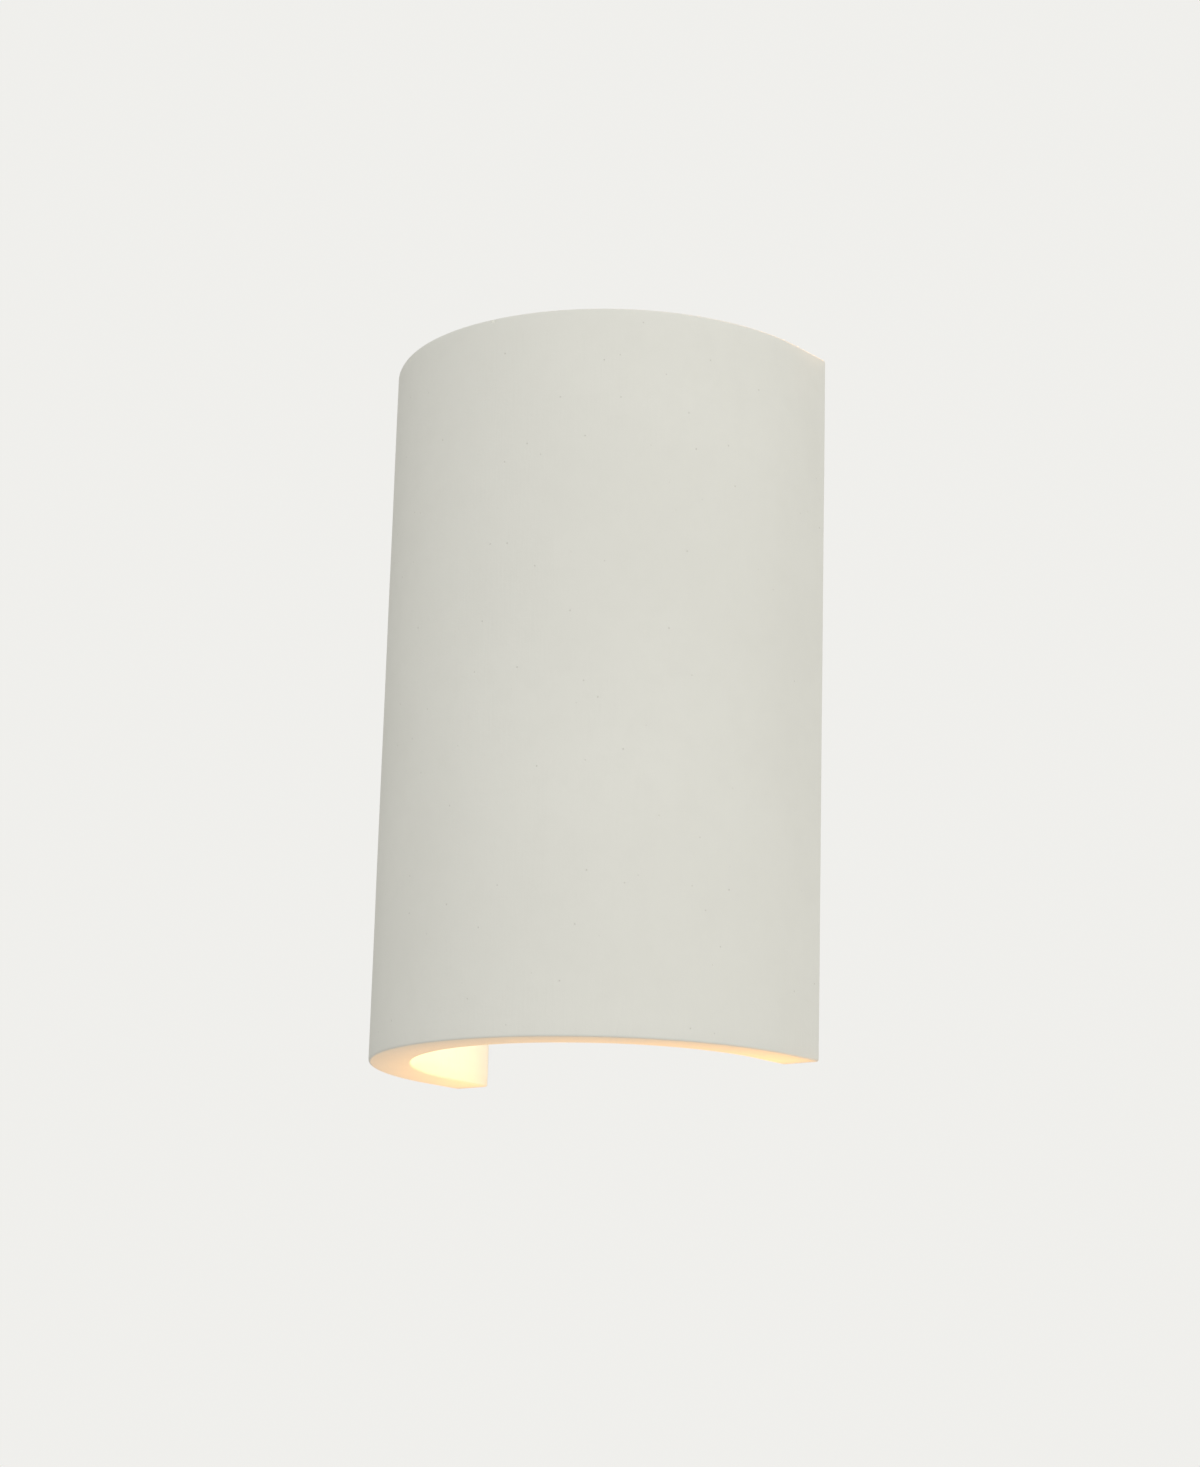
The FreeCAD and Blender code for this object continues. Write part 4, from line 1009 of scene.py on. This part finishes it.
@dataclass
class WallBracket:
    """The folded bracket with its bush, its earth point and its terminal block."""

    shelf: FinishShelf
    screws: tuple[ScrewSet, ...] = (
        ScrewSet("arm_screws", Body.BRACKET, LARGE_SCREW, Facing.ROOM, 2, 1),
        ScrewSet("earth_screw", Body.BRACKET, LARGE_SCREW, Facing.ROOM, 1, 1),
        ScrewSet("terminal_block_screws", Body.BRACKET, SMALL_SCREW, Facing.ROOM, 2, 1),
        ScrewSet("terminal_screws", Body.BRACKET, CLAMP_SCREW, Facing.ROOM, 3, 2),
    )

    def build(self) -> None:
        """Dress the nodes and model the screws."""
        self.shelf.dress({
            "wall_bracket": Slot.PAINTED_STEEL,
            "cable_bush": Slot.RUBBER,
            "earth_ring_terminal": Slot.TIN,
            "earth_washer": Slot.ZINC_STEEL,
            "terminal_block": Slot.NYLON,
            "terminal_clamps": Slot.BRASS,
            "lead_ferrules": Slot.TIN,
            "live_lead": Slot.BROWN,
            "neutral_lead": Slot.BLUE,
            "earth_lead": Slot.GREEN_YELLOW,
        })
        for group in self.screws:
            group.build(self.shelf)


@dataclass
class Lampholder:
    """The folded arm and the ceramic lampholder that stands on it."""

    shelf: FinishShelf
    screws: ScrewSet = ScrewSet("lampholder_screws", Body.BRACKET, SMALL_SCREW, Facing.UP, 1, 2)
    nuts: HexNuts = HexNuts()

    def build(self) -> None:
        """Dress the nodes and model the screws and nuts."""
        self.shelf.dress({
            "lampholder_arm": Slot.PAINTED_STEEL,
            "lampholder": Slot.CERAMIC,
            "lampholder_contacts": Slot.TIN,
        })
        self.screws.build(self.shelf)
        self.nuts.build(self.shelf)


# ------------------------------------------------------------------ lamp


@dataclass
class CapsuleLamp:
    """The plug-in lamp: a base, two wire loops, a chip carrier and a clear domed envelope."""

    shelf: FinishShelf
    glass: float = 0.8 * MM
    chip_rows: int = 5
    chip_faces: int = 6
    chip_width: float = 2.8 * MM
    chip_frame: float = 0.3 * MM
    chip_slope: float = 0.15 * MM
    chip_sink: float = 0.2 * MM

    def build(self) -> None:
        """Blow the envelope, lay the chips and dress the rest."""
        self.blow_envelope()
        self.lay_chips()
        self.shelf.dress({"lamp_base": Slot.LAMP_BASE, "lamp_core": Slot.BOARD, "lamp_pins": Slot.TIN})

    def blow_envelope(self) -> None:
        """Make the envelope from the upper half of a ball, drawn down to its foot."""
        low, high = span("lamp_envelope")
        middle, radius = (low + high) / 2, (high.x - low.x) / 2
        spring = high.z - radius
        tube = add(Primitive.BALL, "lamp_envelope_glass", segments=64, ring_count=32, radius=radius,
                   location=(middle.x, middle.y, spring))
        pick(tube, Element.VERTEX, lambda place: place.z < spring - TOUCHING)
        with editing(tube, Element.VERTEX):
            bpy.ops.mesh.delete(type="VERT")
        pick(tube, Element.EDGE, lambda first, second: max(first.z, second.z) < spring + TOUCHING)
        with editing(tube, Element.EDGE):
            bpy.ops.mesh.extrude_region_move(
                TRANSFORM_OT_translate={"value": (0.0, 0.0, low.z - spring)})
        true_up(tube)
        apply_modifier(tube, "SOLIDIFY", thickness=self.glass, offset=-1.0, use_even_offset=True)
        smooth(tube)
        tube.visible_shadow = False
        settle(tube, Body.LAMP, Slot.GLASS, self.shelf, "lamp_envelope")

    def lay_chips(self) -> None:
        """Model one chip, a white frame round a yellow face, and lay it up the six faces."""
        low, high = span("lamp_chips")
        core_low, core_high = span("lamp_core")
        middle = (core_low + core_high) / 2
        back = core_high.x - middle.x
        front = back + (high.x - core_high.x)
        chip = add(Primitive.CUBE, "chip_model", (front - back, self.chip_width, self.chip_width),
                   size=1.0, location=((back + front) / 2, 0.0, 0.0))
        pick(chip, Element.FACE, lambda centre, normal: normal.x > FACING)
        with editing(chip, Element.FACE):
            bpy.ops.mesh.inset(thickness=self.chip_frame, depth=0.0)
            bpy.ops.mesh.inset(thickness=self.chip_slope, depth=-self.chip_sink)
        for finish in (Slot.PHOSPHOR, Slot.BOARD):
            chip.data.materials.append(self.shelf.take(finish))
        for item in chip.data.polygons:
            glowing = item.normal.x > FACING and item.center.x < front - CLOSE
            item.material_index = 0 if glowing else 1
        copies = []
        climb = (high.z - low.z - self.chip_width) / (self.chip_rows - 1)
        for row in range(self.chip_rows):
            lift = Matrix.Translation((middle.x, middle.y, low.z + self.chip_width / 2 + climb * row))
            for side in range(self.chip_faces):
                turn = Matrix.Rotation(math.tau * side / self.chip_faces, 4, "Z")
                copies.append(copy_to(chip, f"chip_{row}_{side}", lift @ turn))
        bpy.data.objects.remove(chip)
        settle(join("lamp_chips_framed", copies), Body.LAMP, Slot.PHOSPHOR, self.shelf, "lamp_chips")


# ------------------------------------------------------------------ studio


@dataclass(frozen=True)
class SoftLight:
    """A soft rectangular light."""

    name: str
    place: Point
    aim: Point
    size: tuple[float, float]
    power: float
    colour: Colour = (1.0, 1.0, 1.0)

    def hang(self) -> None:
        """Put the light up, facing what it lights."""
        lamp = bpy.data.lights.new(self.name, "AREA")
        lamp.shape = "RECTANGLE"
        lamp.size, lamp.size_y = self.size
        lamp.energy = self.power
        lamp.color = self.colour
        holder = bpy.data.objects.new(self.name, lamp)
        bpy.context.scene.collection.objects.link(holder)
        direction = Vector(self.aim) - Vector(self.place)
        turn = direction.to_track_quat("-Z", "Y").to_matrix().to_4x4()
        holder.matrix_world = Matrix.Translation(self.place) @ turn
        holder.visible_camera = False
        LOG.info("hung %s", self.name)


@dataclass(frozen=True)
class Viewpoint:
    """The camera: its place, where it points, its tilt and its lens."""

    place: Point = (0.47222, -0.61388, -0.19195)
    yaw: float = -38.34
    pitch: float = 13.86
    roll: float = 1.56
    lens: float = 75.28
    sensor: float = 36.0
    near: float = 0.01
    far: float = 50.0

    def set_up(self) -> None:
        """Put up the camera and make it the scene's own."""
        data = bpy.data.cameras.new("viewpoint")
        data.lens = self.lens
        data.sensor_width = self.sensor
        data.sensor_fit = "AUTO"
        data.clip_start = self.near
        data.clip_end = self.far
        camera = bpy.data.objects.new("viewpoint", data)
        bpy.context.scene.collection.objects.link(camera)
        yaw, pitch, roll = (math.radians(angle) for angle in (self.yaw, self.pitch, self.roll))
        ahead = Vector((math.sin(yaw) * math.cos(pitch), math.cos(yaw) * math.cos(pitch), math.sin(pitch)))
        level = Vector((math.cos(yaw), -math.sin(yaw), 0.0))
        above = level.cross(ahead)
        right = level * math.cos(roll) + above * math.sin(roll)
        up = above * math.cos(roll) - level * math.sin(roll)
        turn = Matrix((right, up, -ahead)).transposed().to_4x4()
        camera.matrix_world = Matrix.Translation(self.place) @ turn
        bpy.context.scene.camera = camera


SHADE_MIDDLE: Point = (0.0, -0.04, 0.0)
GLOW: Colour = (1.0, 0.48, 0.10)
GLOW_ABOVE: Colour = (1.0, 0.48, 0.12)
SPILL: Colour = (1.0, 0.86, 0.64)


@dataclass
class Studio:
    """A pale floor, a pale surround and soft lights."""

    floor_level: float = -1.4
    floor_width: float = 60.0
    floor_colour: Colour = (0.69, 0.68, 0.66)
    behind: Colour = (0.87, 0.865, 0.84)
    before: Colour = (0.455, 0.455, 0.45)
    below: float = 0.35
    before_to_behind: tuple[float, float] = (-0.3, 0.5)
    below_to_level: tuple[float, float] = (-0.25, 0.0)
    lights: tuple[SoftLight, ...] = (
        SoftLight("key", (1.5, -1.9, 0.9), SHADE_MIDDLE, (1.2, 1.2), 20.3),
        SoftLight("fill", (-1.6, -1.6, 0.4), SHADE_MIDDLE, (1.4, 1.4), 3.4),
        SoftLight("side", (2.3, -0.4, 0.5), SHADE_MIDDLE, (1.2, 1.2), 3.7, (1.0, 0.97, 0.95)),
        SoftLight("wall_glow_below", (0.0, 0.001, -0.125), (0.0, -1.0, -0.125), (0.12, 0.06), 0.085, GLOW),
        SoftLight("wall_glow_above", (0.0, 0.001, 0.125), (0.0, -1.0, 0.125), (0.12, 0.06), 0.18,
                  GLOW_ABOVE),
        SoftLight("lamp_spill_left", (-0.028, -0.034, -0.036), (-0.036, -0.034, -0.09),
                  (0.016, 0.012), 0.03, SPILL),
        SoftLight("lamp_spill_right", (0.028, -0.034, -0.036), (0.036, -0.034, -0.09),
                  (0.016, 0.012), 0.03, SPILL),
    )

    def build(self) -> None:
        """Lay the floor, light the surround and hang the lights."""
        self.lay_floor()
        self.light_surround()
        for light in self.lights:
            light.hang()
        Viewpoint().set_up()
        bpy.context.scene.view_settings.view_transform = "Standard"

    def lay_floor(self) -> None:
        """Lay the plain floor, well under the light."""
        floor = add(Primitive.GRID, "studio_floor", x_subdivisions=2, y_subdivisions=2,
                    size=self.floor_width, location=(0.0, 0.0, self.floor_level))
        made = ShaderBuilder("studio_floor_finish")
        cloud = made.noise(size=0.6)
        pale = tuple(part * 1.02 for part in self.floor_colour)
        made.paint(made.blended(cloud, self.floor_colour, pale), made.ranged(cloud, 0.0, 1.0, 0.8, 0.9))
        floor.data.materials.append(made.material)

    def light_surround(self) -> None:
        """Light the surround, brighter behind the light than before it."""
        world = bpy.data.worlds.new("studio_surround")
        world.use_nodes = True
        bpy.context.scene.world = world
        nodes, links = world.node_tree.nodes, world.node_tree.links
        place = nodes.new("ShaderNodeTexCoord")
        split = nodes.new("ShaderNodeSeparateXYZ")
        links.new(place.outputs["Generated"], split.inputs[0])

        def ramp(axis: str, ends: tuple[float, float], lowest: float) -> bpy.types.NodeSocket:
            """Return a share that climbs from its lowest to 1 between two ends of an axis."""
            mapped = nodes.new("ShaderNodeMapRange")
            for name, number in zip(("From Min", "From Max", "To Min"), (*ends, lowest)):
                mapped.inputs[name].default_value = number
            links.new(split.outputs[axis], mapped.inputs["Value"])
            return mapped.outputs["Result"]

        mix = nodes.new("ShaderNodeMix")
        mix.data_type = "RGBA"
        links.new(ramp("Y", self.before_to_behind, 0.0), mix.inputs[0])
        colours = [item for item in mix.inputs if item.type == "RGBA"]
        colours[0].default_value = (*self.before, 1.0)
        colours[1].default_value = (*self.behind, 1.0)
        output = next(item for item in mix.outputs if item.type == "RGBA")
        links.new(output, nodes["Background"].inputs["Color"])
        links.new(ramp("Z", self.below_to_level, self.below), nodes["Background"].inputs["Strength"])


# ------------------------------------------------------------------ the whole light


def main() -> None:
    """Build each sub-assembly in order, then the studio."""
    logging.basicConfig(level=logging.INFO, format="%(name)s: %(message)s")
    shelf = FinishShelf()
    Studio().build()
    for assembly in (WallBracket(shelf), Lampholder(shelf), CapsuleLamp(shelf), PlasterShade(shelf)):
        assembly.build()
        LOG.info("finished %s", type(assembly).__name__)


if __name__ == "__main__":
    main()
